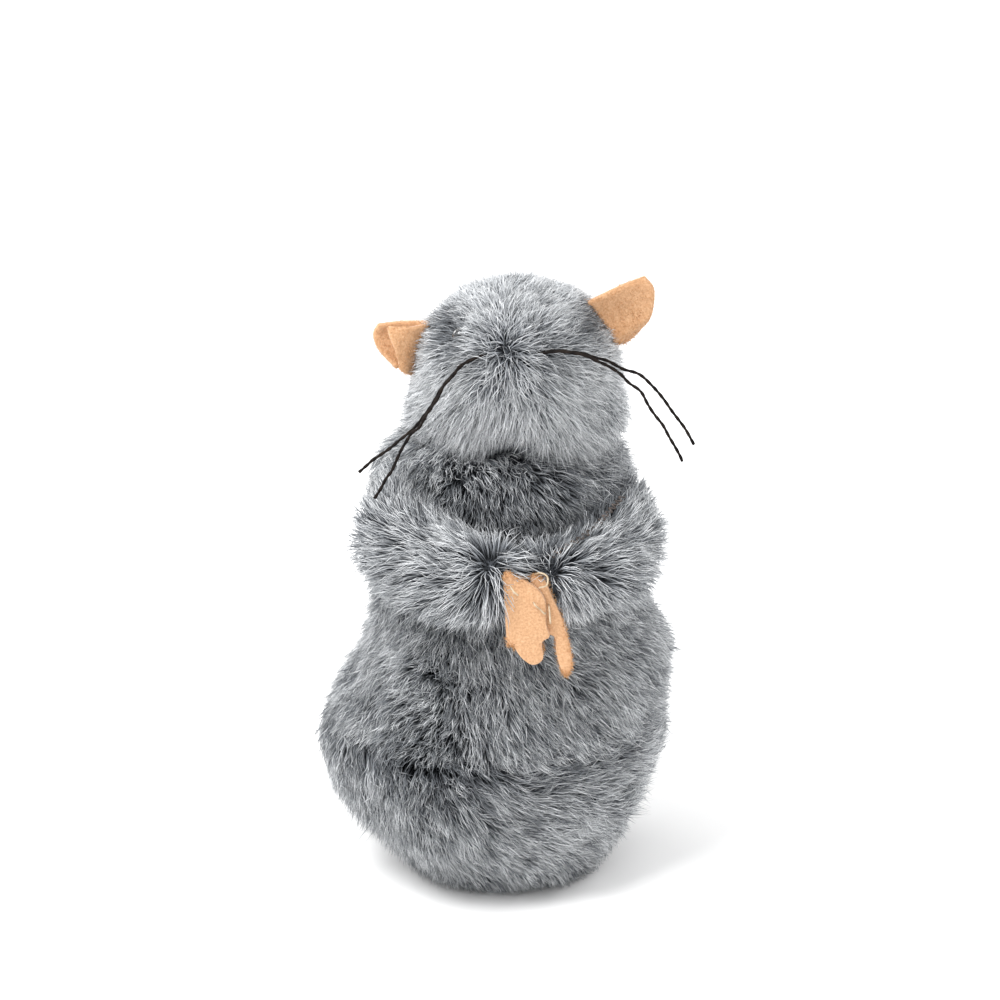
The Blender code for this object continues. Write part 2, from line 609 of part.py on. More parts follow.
def make_winding(mats):
    """Arbor with a reduced end for the key, and the ratchet wheel fixed on it."""
    key_face = KEY_STEM_Y[0]
    shaft = [(WINDING_R, PLATE_FRONT_Y - 0.6), (WINDING_R, key_face - 0.8),
             (KEY_SEAT_R, key_face - 0.6), (KEY_SEAT_R, key_face + KEY_SEAT_LENGTH)]
    add_object("winding_arbor", turned_y(WINDING_AXIS, shaft), mats["steel"], on_axis(WINDING_AXIS))
    teeth = []
    for i in range(RATCHET_TEETH):
        angle = RATCHET_PHASE + TAU * i / RATCHET_TEETH
        for radius, turn in ((RATCHET_R, 0.0), (RATCHET_R - 1.0, -0.04)):
            teeth.append((WINDING_AXIS[0] + radius * math.cos(angle + turn),
                          WINDING_AXIS[1] + radius * math.sin(angle + turn)))
    bore = circle(WINDING_AXIS, WINDING_R + GAP, 20)
    add_object("ratchet_wheel", plate(teeth[::-1], *RATCHET_Y, [bore]), mats["steel"],
               on_axis(WINDING_AXIS), smooth=False)


def on_axis(centre):
    return (centre[0], 0.0, centre[1])


def wheel(name, centre, teeth, phase, span, bore_r, windows, mats, extra_holes=()):
    """Brass wheel with a bore and a ring of round lightening windows."""
    holes = [circle(centre, bore_r, 16), *extra_holes]
    ring_r, window_r, first = windows
    for i in range(4):
        angle = first + i * math.pi / 2
        spot = (centre[0] + ring_r * math.cos(angle), centre[1] + ring_r * math.sin(angle))
        holes.append(circle(spot, window_r, 10))
    add_object(name, plate(gear_outline(centre, teeth, phase), *span, holes), mats["brass"],
               on_axis(centre), smooth=False)


def pinion_arbor(name, centre, teeth, phase, pinion_span, shaft_span, mats):
    """Steel shaft with its leaf pinion cut from the same bar."""
    leaf = add_object(name, plate(gear_outline(centre, teeth, phase), *pinion_span), mats["steel"],
                      on_axis(centre), smooth=False)
    shaft = as_cutter(add_object(name + "_shaft", turned_y(centre, rod(ARBOR_R, *shaft_span), 12),
                                 mats["steel"], on_axis(centre)))
    join = leaf.modifiers.new("shaft", "BOOLEAN")
    join.operation = "UNION"
    join.solver = "EXACT"
    join.object = shaft


def make_train(mats):
    to_second = direction_of(WINDING_AXIS, SECOND_AXIS)
    to_drive = direction_of(SECOND_AXIS, DRIVE_AXIS)
    rivet_spot = (WINDING_AXIS[0] + CLICK_PIVOT_R * math.cos(CLICK_ANGLE),
                  WINDING_AXIS[1] + CLICK_PIVOT_R * math.sin(CLICK_ANGLE))
    wheel("great_wheel", WINDING_AXIS, GREAT_TEETH, to_second, GREAT_Y, WINDING_R + RUNNING_FIT,
          (7.2, 2.3, math.radians(45)), mats, [circle(rivet_spot, CLICK_RIVET_R + GAP, 14)])
    reach = (PLATE_FRONT_Y - 0.4, PLATE_BACK_Y + PLATE_T + 0.4)
    pinion_arbor("second_arbor", SECOND_AXIS, PINION_TEETH,
                 mesh_phase(to_second, GREAT_TEETH, PINION_TEETH, to_second), (-0.9, 0.9), reach, mats)
    wheel("second_wheel", SECOND_AXIS, SECOND_TEETH, to_drive, SECOND_Y, ARBOR_R + GAP,
          (5.0, 1.7, to_drive + math.radians(45)), mats)
    pinion_arbor("drive_arbor", DRIVE_AXIS, PINION_TEETH,
                 mesh_phase(to_drive, SECOND_TEETH, PINION_TEETH, to_drive), (0.9, 2.5),
                 (PLATE_FRONT_Y - 0.4, WHEEL_Y[1] + 0.3), mats)
    pinion_arbor("fly_arbor", FLY_AXIS, FLY_TEETH,
                 mesh_phase(to_drive, SECOND_TEETH, FLY_TEETH, FLY_ANGLE), (0.9, 2.5), reach, mats)
    make_fly(mats)
    make_click(rivet_spot, mats)


def make_fly(mats):
    """Two-bladed air governor."""
    x, z = FLY_AXIS
    blade, hub = 1.7, 1.9
    outline = []
    for side in (0.0, math.pi):
        for along, across in ((0.6, -hub), (FLY_REACH, -blade), (FLY_REACH, blade), (0.6, hub)):
            c, s = math.cos(side), math.sin(side)
            outline.append((x + along * c - across * s, z + along * s + across * c))
    bore = circle(FLY_AXIS, ARBOR_R + GAP, 16)
    add_object("governor_fly", plate(outline, *FLY_Y, [bore]), mats["brass"], on_axis(FLY_AXIS),
               smooth=False)


def make_click(pivot, mats):
    """Pawl on the great wheel, its tip lying in a ratchet tooth."""
    def polar(radius, degrees):
        angle = math.radians(degrees)
        return (WINDING_AXIS[0] + radius * math.cos(angle), WINDING_AXIS[1] + radius * math.sin(angle))
    turn = math.degrees(CLICK_ANGLE)
    outline = [polar(CLICK_PIVOT_R - 1.3, turn + 12), polar(CLICK_PIVOT_R + 1.2, turn + 9),
               polar(CLICK_PIVOT_R + 1.4, turn - 8), polar(CLICK_PIVOT_R - 0.4, turn - 18),
               polar(RATCHET_R - 0.1, turn - 50), polar(RATCHET_R - 0.55, turn - 51),
               polar(RATCHET_R + 0.45, turn - 36)]
    hole = circle(pivot, CLICK_RIVET_R + RUNNING_FIT, 14)
    add_object("click", plate(outline[::-1], *RATCHET_Y, [hole]), mats["steel"], on_axis(pivot), smooth=False)
    low, high = RATCHET_Y[0], GREAT_Y[1]
    head_r = CLICK_RIVET_R + 0.5
    turned = [(CLICK_RIVET_R, low - 0.2), (CLICK_RIVET_R, high + GAP), (head_r, high + GAP),
              (head_r, high + 2 * GAP)]
    add_object("click_rivet", turned_y(pivot, turned, 14), mats["steel"], on_axis(pivot))


def make_drive_wheel(mats):
    low, high = WHEEL_Y
    hub = [(ARBOR_R + GAP, low), (HUB_R, low), (HUB_R, high), (ARBOR_R + GAP, high)]
    add_object("drive_hub", turned_y(DRIVE_AXIS, hub, 24, closed=True), mats["base"], on_axis(DRIVE_AXIS))
    tyre = [(HUB_R + GAP, low), (TYRE_R - 0.4, low), (TYRE_R, low + 0.5), (TYRE_R, high - 0.5),
            (TYRE_R - 0.4, high), (HUB_R + GAP, high)]
    add_object("drive_tyre", turned_y(DRIVE_AXIS, tyre, 36, closed=True), mats["rubber"], on_axis(DRIVE_AXIS))


# ---- key ---------------------------------------------------------------------
def make_key(mats):
    low, high = KEY_STEM_Y
    bore = KEY_SEAT_R + GAP
    end = low + KEY_BORE_DEPTH
    stem = [(0.0, end), (bore, end), (bore, low), (KEY_STEM_R, low), (KEY_STEM_R, high - 0.5),
            (KEY_STEM_R - 0.5, high), (0.0, high)]
    add_object("key_stem", turned_y(WINDING_AXIS, stem, 16), mats["nickel"], on_axis(WINDING_AXIS))
    lobe_y = KEY_BOW_FRONT_Y + KEY_LOBE_R
    outline = []
    for side, start in ((1, -150), (-1, 30)):
        for k in range(11):
            angle = math.radians(start + 30 * k)
            outline.append((side * KEY_LOBE_X + KEY_LOBE_R * math.cos(angle),
                            lobe_y + KEY_LOBE_R * math.sin(angle)))
    holes = [circle((side * KEY_LOBE_X, lobe_y), KEY_LOBE_HOLE_R, 16) for side in (1, -1)]
    middle = WINDING_AXIS[1]
    bow = flat_plate(outline, middle - KEY_BOW_T / 2, middle + KEY_BOW_T / 2, holes)
    add_object("key_bow", bow, mats["nickel"], on_axis(WINDING_AXIS), smooth=False)


def make_materials():
    return {
        "plush": material("plush", (0.30, 0.31, 0.33), 0.95),
        "stuffing": material("stuffing", (0.85, 0.82, 0.75), 1.0),
        "felt": material("felt", (0.80, 0.42, 0.20), 0.95),
        "thread": material("thread", (0.62, 0.50, 0.36), 0.8),
        "whisker": material("whisker", (0.05, 0.03, 0.02), 0.6),
        "bead": material("bead", (0.01, 0.01, 0.01), 0.1),
        "base": material("base", (0.86, 0.85, 0.82), 0.35),
        "glide": material("glide", (0.80, 0.80, 0.76), 0.4),
        "steel": material("steel", (0.60, 0.60, 0.62), 0.35, 1.0),
        "spring": material("spring", (0.20, 0.24, 0.32), 0.3, 1.0),
        "brass": material("brass", (0.78, 0.57, 0.24), 0.3, 1.0),
        "nickel": material("nickel", (0.75, 0.74, 0.72), 0.2, 1.0),
        "cover": material("cover", (0.75, 0.76, 0.78), 0.3),
        "rubber": material("rubber", (0.03, 0.03, 0.03), 0.85),
    }


def main():
    clear_scene()
    mats = make_materials()
    make_body(mats)
    make_head(mats)
    make_eyes(mats)
    make_arms(mats)
    make_paws(mats)
    make_ears(mats)
    make_whiskers(mats)
    make_base(mats)
    make_frame(mats)
    make_spring(mats)
    make_winding(mats)
    make_train(mats)
    make_drive_wheel(mats)
    make_key(mats)


main()
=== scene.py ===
import json
import math

import bmesh
import bpy
import numpy as np
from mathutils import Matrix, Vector
from mathutils.kdtree import KDTree


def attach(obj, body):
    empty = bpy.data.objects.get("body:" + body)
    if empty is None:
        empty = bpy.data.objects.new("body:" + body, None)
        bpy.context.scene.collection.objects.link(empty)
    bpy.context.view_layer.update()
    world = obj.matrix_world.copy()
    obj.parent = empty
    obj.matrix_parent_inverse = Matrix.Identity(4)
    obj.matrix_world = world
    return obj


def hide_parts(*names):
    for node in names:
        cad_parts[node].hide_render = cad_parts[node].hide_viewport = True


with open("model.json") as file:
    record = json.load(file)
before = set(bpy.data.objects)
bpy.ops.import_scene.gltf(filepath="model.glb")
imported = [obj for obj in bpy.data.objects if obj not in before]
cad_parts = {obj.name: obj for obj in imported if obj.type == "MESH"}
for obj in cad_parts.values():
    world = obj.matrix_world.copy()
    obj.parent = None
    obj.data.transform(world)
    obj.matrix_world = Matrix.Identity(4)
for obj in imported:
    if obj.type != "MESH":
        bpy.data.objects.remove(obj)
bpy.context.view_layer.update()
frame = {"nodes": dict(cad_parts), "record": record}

# Plush clockwork mouse. Lengths are millimetres until they reach a mesh.
# The mouse faces -Y; +X is its own left, Z is up, the origin is under the pivot foot.
MM = 0.001
TAU = 2 * math.pi


# ---- camera ------------------------------------------------------------------
def make_camera():
    distance, elevation = 0.9, math.radians(22)
    aim = Vector((-0.00095, 0.0, 0.0744))
    data = bpy.data.cameras.new("camera")
    data.lens = 170.5
    data.clip_start, data.clip_end = 0.01, 50
    camera = bpy.data.objects.new("camera", data)
    camera.location = aim + distance * Vector((0, -math.cos(elevation), math.sin(elevation)))
    camera.rotation_euler = (math.pi / 2 - elevation, 0, 0)
    bpy.context.scene.collection.objects.link(camera)
    bpy.context.scene.camera = camera


# ---- node materials ------------------------------------------------------------
class Paint:
    """A Principled material and the few node shapes this scene uses."""

    def __init__(self, name, roughness, metallic=0.0, **eye_hollow_shade):
        self.mat = bpy.data.materials.new(name)
        self.mat.use_nodes = True
        self.tree = self.mat.node_tree
        self.shader = self.tree.nodes["Principled BSDF"]
        self.shader.inputs["Roughness"].default_value = roughness
        self.shader.inputs["Metallic"].default_value = metallic
        for socket, value in eye_hollow_shade.items():
            self.shader.inputs[socket.replace("_", " ")].default_value = value

    def node(self, kind, **inputs):
        node = self.tree.nodes.new("ShaderNode" + kind)
        for socket, value in inputs.items():
            node.inputs[socket.replace("_", " ")].default_value = value
        return node

    def link(self, start, end):
        self.tree.links.new(start, end)

    def noise(self, scale, detail=4.0, stretch=None):
        where = self.node("TexCoord").outputs["Object"]
        if stretch:
            mapping = self.node("Mapping", Scale=stretch)
            self.link(where, mapping.inputs["Vector"])
            where = mapping.outputs["Vector"]
        texture = self.node("TexNoise", Scale=scale, Detail=detail)
        self.link(where, texture.inputs["Vector"])
        return texture.outputs["Fac"]

    def ramp(self, fac, *stops):
        ramp = self.node("ValToRGB")
        elements = ramp.color_ramp.elements
        while len(elements) < len(stops):
            elements.new(0.5)
        for element, (place, colour) in zip(elements, stops):
            element.position = place
            element.color = (*colour, 1.0) if len(colour) == 3 else colour
        self.link(fac, ramp.inputs["Fac"])
        return ramp.outputs["Color"]

    def colour(self, fac, *stops):
        self.link(self.ramp(fac, *stops), self.shader.inputs["Base Color"])
        return self

    def bump(self, fac, distance, strength=1.0):
        bump = self.node("Bump", Strength=strength, Distance=distance * MM)
        self.link(fac, bump.inputs["Height"])
        self.link(bump.outputs["Normal"], self.shader.inputs["Normal"])
        return self

    def vary_roughness(self, fac, low, high):
        spread = self.node("MapRange")
        spread.inputs["From Min"].default_value, spread.inputs["From Max"].default_value = 0.3, 0.7
        spread.inputs["To Min"].default_value, spread.inputs["To Max"].default_value = low, high
        self.link(fac, spread.inputs["Value"])
        self.link(spread.outputs["Result"], self.shader.inputs["Roughness"])
        return self


def fur_paint(name, dark, light):
    """Strand colour from its own coordinates: u is the strand's tone, v runs root to tip."""
    paint = Paint(name, 0.62, Specular_IOR_Level=0.35)
    uv = paint.node("UVMap")
    uv.uv_map = "OFBake"
    split = paint.node("SeparateXYZ")
    paint.link(uv.outputs["UV"], split.inputs["Vector"])
    mix = paint.node("Mix")
    mix.data_type = "RGBA"
    paint.link(split.outputs["X"], mix.inputs["Factor"])
    paint.link(paint.ramp(split.outputs["Y"], *dark), mix.inputs[6])
    paint.link(paint.ramp(split.outputs["Y"], *light), mix.inputs[7])
    paint.link(mix.outputs[2], paint.shader.inputs["Base Color"])
    return paint.mat


def metal(name, dark, bright, roughness, brushed=None):
    paint = Paint(name, roughness, 1.0)
    grain = paint.noise(900, 3, brushed)
    paint.colour(paint.noise(160, 5), (0.3, dark), (0.7, bright))
    paint.vary_roughness(grain, roughness * 0.8, roughness * 1.3)
    return paint.bump(grain, 0.02, 0.4).mat


def plastic(name, low, high, roughness, grain=0.02):
    paint = Paint(name, roughness, Coat_Weight=0.15)
    paint.colour(paint.noise(60, 3), (0.3, low), (0.7, high))
    return paint.bump(paint.noise(700, 2), grain, 0.5).mat


def make_materials():
    felt = Paint("felt", 0.95, Sheen_Weight=0.25, Sheen_Roughness=0.6)
    felt.colour(felt.noise(2600, 8), (0.25, (0.46, 0.235, 0.110)), (0.50, (0.60, 0.335, 0.170)),
                (0.75, (0.72, 0.450, 0.260)))
    felt.bump(felt.noise(3200, 6), 0.10, 0.8)
    backing = Paint("plush_backing", 1.0)
    backing.colour(backing.noise(500, 4), (0.3, (0.022, 0.025, 0.030)), (0.7, (0.075, 0.082, 0.095)))
    backing.bump(backing.noise(1600, 3), 0.1)
    stuffing = Paint("stuffing", 1.0)
    stuffing.colour(stuffing.noise(140, 6), (0.3, (0.70, 0.67, 0.60)), (0.7, (0.88, 0.86, 0.80)))
    stuffing.bump(stuffing.noise(260, 8), 0.5)
    thread = Paint("sewing_thread", 0.8)
    thread.colour(thread.noise(900, 3), (0.3, (0.42, 0.30, 0.19)), (0.7, (0.66, 0.54, 0.38)))
    thread.bump(thread.noise(2500, 2), 0.04)
    seam = Paint("seam_thread", 0.8)
    seam.colour(seam.noise(900, 3), (0.3, (0.030, 0.024, 0.022)), (0.7, (0.130, 0.105, 0.092)))
    waxed = Paint("waxed_thread", 0.75, Specular_IOR_Level=0.12)
    waxed.colour(waxed.noise(700, 4), (0.35, (0.004, 0.003, 0.003)), (0.7, (0.020, 0.014, 0.011)))
    waxed.bump(waxed.noise(2200, 3), 0.04)
    rubber = Paint("rubber", 0.85)
    rubber.colour(rubber.noise(300, 4), (0.3, (0.018, 0.018, 0.018)), (0.7, (0.045, 0.044, 0.042)))
    rubber.bump(rubber.noise(1200, 2), 0.05)
    glass = Paint("eye_glass_black", 0.06, Coat_Weight=1.0, Coat_Roughness=0.03)
    glass.colour(glass.noise(300, 2), (0.3, (0.004, 0.004, 0.004)), (0.7, (0.010, 0.009, 0.008)))
    return {
        "fur": fur_paint(
            "plush_pile",
            ((0.0, (0.016, 0.018, 0.022)), (0.45, (0.058, 0.064, 0.073)), (1.0, (0.240, 0.258, 0.280))),
            ((0.0, (0.040, 0.043, 0.049)), (0.38, (0.330, 0.352, 0.382)), (0.8, (0.930, 0.945, 0.960)))),
        "fuzz": fur_paint(
            "felt_fuzz",
            ((0.0, (0.45, 0.20, 0.07)), (1.0, (0.62, 0.33, 0.14))),
            ((0.0, (0.62, 0.32, 0.13)), (1.0, (0.88, 0.58, 0.32)))),
        "felt": felt.mat, "plush": backing.mat, "stuffing": stuffing.mat, "sewing_thread": thread.mat,
        "seam_thread": seam.mat,
        "waxed_thread": waxed.mat, "rubber": rubber.mat, "eye_glass_black": glass.mat,
        "base_plastic": plastic("base_plastic", (0.74, 0.72, 0.67), (0.84, 0.82, 0.77), 0.38),
        "glide_plastic": plastic("glide_plastic", (0.66, 0.66, 0.62), (0.80, 0.80, 0.76), 0.42),
        "cover_plastic": plastic("cover_plastic", (0.55, 0.57, 0.60), (0.70, 0.72, 0.74), 0.3),
        "steel": metal("steel", (0.42, 0.42, 0.44), (0.62, 0.62, 0.63), 0.32, (1, 1, 12)),
        "spring_steel": metal("spring_steel", (0.10, 0.13, 0.20), (0.22, 0.25, 0.34), 0.28, (12, 1, 12)),
        "brass": metal("brass", (0.58, 0.40, 0.15), (0.80, 0.60, 0.27), 0.30, (1, 8, 1)),
        "nickel": metal("nickel", (0.52, 0.50, 0.47), (0.78, 0.77, 0.74), 0.22, (1, 6, 1)),
    }


# ---- mesh helpers ----------------------------------------------------------------
def add_mesh(name, verts, faces, mat, smooth=True):
    mesh = bpy.data.meshes.new(name)
    mesh.from_pydata((np.asarray(verts, dtype=float) * MM).tolist(), [], faces)
    mesh.materials.append(mat)
    if smooth:
        mesh.shade_smooth()
    obj = bpy.data.objects.new(name, mesh)
    bpy.context.scene.collection.objects.link(obj)
    return obj


def finish_piece(obj, slot_name, *nodes, body="mouse"):
    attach(obj, body)
    if nodes:
        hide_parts(*nodes)
    return obj


def unit(v):
    return v / np.maximum(np.linalg.norm(v, axis=-1, keepdims=True), 1e-9)


def smooth_route(points, steps):
    """Points on the Catmull-Rom curve through a route, `steps` to each stretch."""
    pts = np.array(points, dtype=float)
    pts = np.vstack([2 * pts[0] - pts[1], pts, 2 * pts[-1] - pts[-2]])
    t = np.arange(steps)[:, None] / steps
    route = [0.5 * (2 * b + (c - a) * t + (2 * a - 5 * b + 4 * c - d) * t ** 2
                    + (3 * b - a - 3 * c + d) * t ** 3)
             for a, b, c, d in zip(pts, pts[1:], pts[2:], pts[3:])]
    return np.vstack([*route, pts[-2:-1]])


def grid_faces(rows, columns, wrap=True):
    faces = []
    for i in range(rows - 1):
        for k in range(columns if wrap else columns - 1):
            n = (k + 1) % columns
            faces.append((i * columns + k, i * columns + n, (i + 1) * columns + n, (i + 1) * columns + k))
    return faces


def circle(count):
    turn = np.arange(count) / count * TAU
    return np.stack([np.cos(turn), np.sin(turn)], axis=1)


def tube(route, rings):
    """Closed tube: `rings(i)` gives the cross-section (count, 2) at point i."""
    ahead = unit(np.gradient(route, axis=0))
    side = unit(np.cross(ahead, (0.12, 0.2, 1.0)))
    up = np.cross(side, ahead)
    verts = []
    for i, centre in enumerate(route):
        section = rings(i)
        verts.append(centre + section[:, :1] * side[i] + section[:, 1:] * up[i])
    count = len(section)
    faces = [face[::-1] for face in grid_faces(len(route), count)]
    last = (len(route) - 1) * count
    faces += [tuple(range(count)), tuple(last + k for k in reversed(range(count)))]
    return np.vstack(verts), faces


def wave(p, scale, seed):
    """Slow smooth variation over space, about -1 to 1."""
    rng = np.random.default_rng(seed)
    total = np.zeros(len(p))
    for _ in range(5):
        heading = unit(rng.normal(size=3)) / scale * rng.uniform(0.6, 1.5)
        total += np.sin(p @ heading * TAU + rng.uniform(0, TAU))
    return total / 2.6


def across(vector, normal):
    """The part of a direction that lies in the surface."""
    vector = np.broadcast_to(vector, normal.shape)
    return unit(vector - normal * np.sum(vector * normal, axis=1, keepdims=True))


def tuft_tone(root, rng):
    """Mixed dark and pale strands, in tufts that differ from their neighbours."""
    return rng.beta(0.65, 0.85, len(root)) + 0.22 * wave(root, 3.2, 31) + 0.20 * wave(root, 1.6, 35)


def bell(p, centre, spread):
    gap = (p - np.array(centre)) / np.array(spread)
    return np.exp(-0.5 * np.sum(gap ** 2, axis=1))


# ---- strands -----------------------------------------------------------------
ALONG = np.array([0.0, 0.34, 0.68, 1.0])     # where a strand's rings sit on it
FLOOR_CLEAR = 0.5                            # strands stop this far above the floor
PAW_BACK = -33.2                             # and behind the felt of the paws


def strand_mesh(name, points, radius, tone, mat, rng):
    """Each strand is its own closed three-sided spike through four points."""
    count = len(points)
    ahead = unit(np.stack([points[:, 1] - points[:, 0], points[:, 2] - points[:, 0],
                           points[:, 3] - points[:, 1]], axis=1))
    side = unit(np.cross(ahead, unit(rng.normal(size=(count, 1, 3)))))
    up = np.cross(ahead, side)
    ring = []
    for k in range(3):
        turn = TAU * k / 3
        width = radius[:, None, None] * np.array([0.9, 1.0, 0.66])[None, :, None]
        ring.append(points[:, :3] + width * (side * math.cos(turn) + up * math.sin(turn)))
    verts = np.concatenate([np.stack(ring, axis=2).reshape(count, 9, 3), points[:, 3:]], axis=1)
    one = [(0, 2, 1)]
    one += [(3 * j + k, 3 * j + (k + 1) % 3, 3 * j + 3 + (k + 1) % 3, 3 * j + 3 + k)
            for j in range(2) for k in range(3)]
    one += [(6 + k, 6 + (k + 1) % 3, 9) for k in range(3)]
    corners = np.array([v for face in one for v in face])
    sizes = np.array([len(face) for face in one])
    loops = (corners[None, :] + 10 * np.arange(count)[:, None]).ravel()
    starts = np.concatenate([[0], np.cumsum(np.tile(sizes, count))[:-1]])
    mesh = bpy.data.meshes.new(name)
    mesh.vertices.add(10 * count)
    mesh.vertices.foreach_set("co", (verts.reshape(-1) * MM).astype(np.float32))
    mesh.loops.add(len(loops))
    mesh.loops.foreach_set("vertex_index", loops.astype(np.int32))
    mesh.polygons.add(len(starts))
    mesh.polygons.foreach_set("loop_start", starts.astype(np.int32))
    mesh.update(calc_edges=True)
    u = np.repeat(0.03 + 0.94 * tone, 10).reshape(count, 10)
    u = u + np.array([-1, 0, 1] * 3 + [0]) * 0.008
    v = np.tile(np.append(np.repeat(ALONG[:3], 3), 1.0) * 0.98 + 0.01, (count, 1))
    layer = mesh.uv_layers.new(name="OFBake")
    uvs = np.stack([u.ravel()[loops], v.ravel()[loops]], axis=1)
    layer.uv.foreach_set("vector", uvs.ravel().astype(np.float32))
    mesh.materials.append(mat)
    mesh.shade_smooth()
    obj = bpy.data.objects.new(name, mesh)
    bpy.context.scene.collection.objects.link(obj)
    return obj


def lay_strands(root, normal, flow, length, lean, rng, clump=0.6, jitter=1.0):
    """Four points of each strand: it leaves near the normal and bends over with the flow."""
    turn = rng.normal(0, 0.30 * jitter, len(root)) + 0.35 * wave(root, 11, 5)
    flow = flow * np.cos(turn)[:, None] + np.cross(normal, flow) * np.sin(turn)[:, None]
    lean = np.clip(lean + rng.normal(0, 0.16 * jitter, len(root)) + 0.14 * wave(root, 9, 8), 0.02, 1.5)

    def heading(angle):
        return normal * np.cos(angle)[:, None] + flow * np.sin(angle)[:, None]
    size = length[:, None]
    droop = np.array([0.0, 0.0, -1.0])
    a = root - 0.25 * normal
    b = a + size * 0.34 * heading(0.5 * lean)
    c = b + size * 0.34 * heading(np.minimum(lean, 1.45)) + size * 0.02 * droop
    d = c + size * 0.32 * heading(np.minimum(1.25 * lean, 1.55)) + size * 0.05 * droop
    points = np.stack([a, b, c, d], axis=1)
    points[:, 2] += rng.normal(0, 0.04, (len(root), 3)) * size
    points[:, 3] += rng.normal(0, 0.09, (len(root), 3)) * size
    if clump > 0:
        leaders = rng.choice(len(root), max(len(root) // 16, 1), replace=False)
        tree = KDTree(len(leaders))
        for i, leader in enumerate(leaders):
            tree.insert(root[leader], i)
        tree.balance()
        lead = leaders[[tree.find(p)[1] for p in root]]
        pull = np.array([0.0, 0.16, 0.42, 0.62])[None, :, None] * rng.uniform(0.1, clump * 1.7,
                                                                             (len(root), 1, 1))
        points += pull * (points[lead] - points)
    points[:, :, 2] = np.maximum(points[:, :, 2], FLOOR_CLEAR)
    x, y, z = np.moveaxis(points, 2, 0)
    behind = (x > 1.8) & (x < 10.5) & (z > 55) & (z < 72.8)
    points[:, :, 1] = np.where(behind, np.maximum(y, PAW_BACK), y)
    return points


def grow(name, roots, count, mat, seed, radius=0.108, clump=0.6, slot_name="plush", nodes=()):
    """`roots(count, rng)` gives root, normal, flow, length, lean and tone of the strands."""
    rng = np.random.default_rng(seed)
    root, normal, flow, length, lean, tone = roots(count, rng)
    points = lay_strands(root, normal, flow, length, lean, rng, clump)
    widths = radius * rng.uniform(0.7, 1.25, len(root))
    obj = strand_mesh(name, points, widths, np.clip(tone, 0, 1), mat, rng)
    return finish_piece(obj, slot_name, *nodes)


# ---- body ------------------------------------------------------------------------
BODY_PROFILE = np.array([  # (radius, height) of the plush backing, floor to neck
    (16.4, 2.2), (19.6, 6.5), (22.9, 12.0), (25.6, 18.5), (27.3, 25.5), (27.5, 31.0),
    (26.2, 37.0), (23.6, 44.5), (20.6, 51.5), (18.2, 59.5), (17.2, 69.0), (17.2, 77.0),
    (15.8, 83.2), (13.0, 87.0), (10.2, 88.8)])
SEAM_Z = 31.0
SEAM_LIFT = 1.6             # the band's pile starts this far above the seam
SEAM_RISE = 4.2             # and climbs this far on the mouse's left
KEY_Z = 31.0
KEY_HOLE_R = 3.4
FABRIC = 0.8                # thickness of the woven backing


def body_line():
    return smooth_route(BODY_PROFILE, 6)


def settle(p):
    """The filled belly hangs a little to the mouse's right, its upper part to the left."""
    p = np.array(p, dtype=float)
    z = p[:, 2]
    p[:, 0] -= 2.6 * np.exp(-((z - 24.0) / 12.0) ** 2) * np.clip((z - 3.0) / 10.0, 0, 1)
    wider = (0.06 * np.exp(-((z - 29.0) / 9.0) ** 2) + 0.15 * np.exp(-((z - 61.0) / 6.0) ** 2)
             + 0.24 * np.exp(-((z - 82.5) / 5.0) ** 2))
    p[:, 0] *= 1 + wider * np.clip((z - 6.0) / 8.0, 0, 1)
    bulge = np.exp(-((z - 49.0) / 9.0) ** 2)
    p[:, 0] += bulge * (0.8 + 3.0 * np.clip(p[:, 0] / 20.0, 0, 1))
    return p


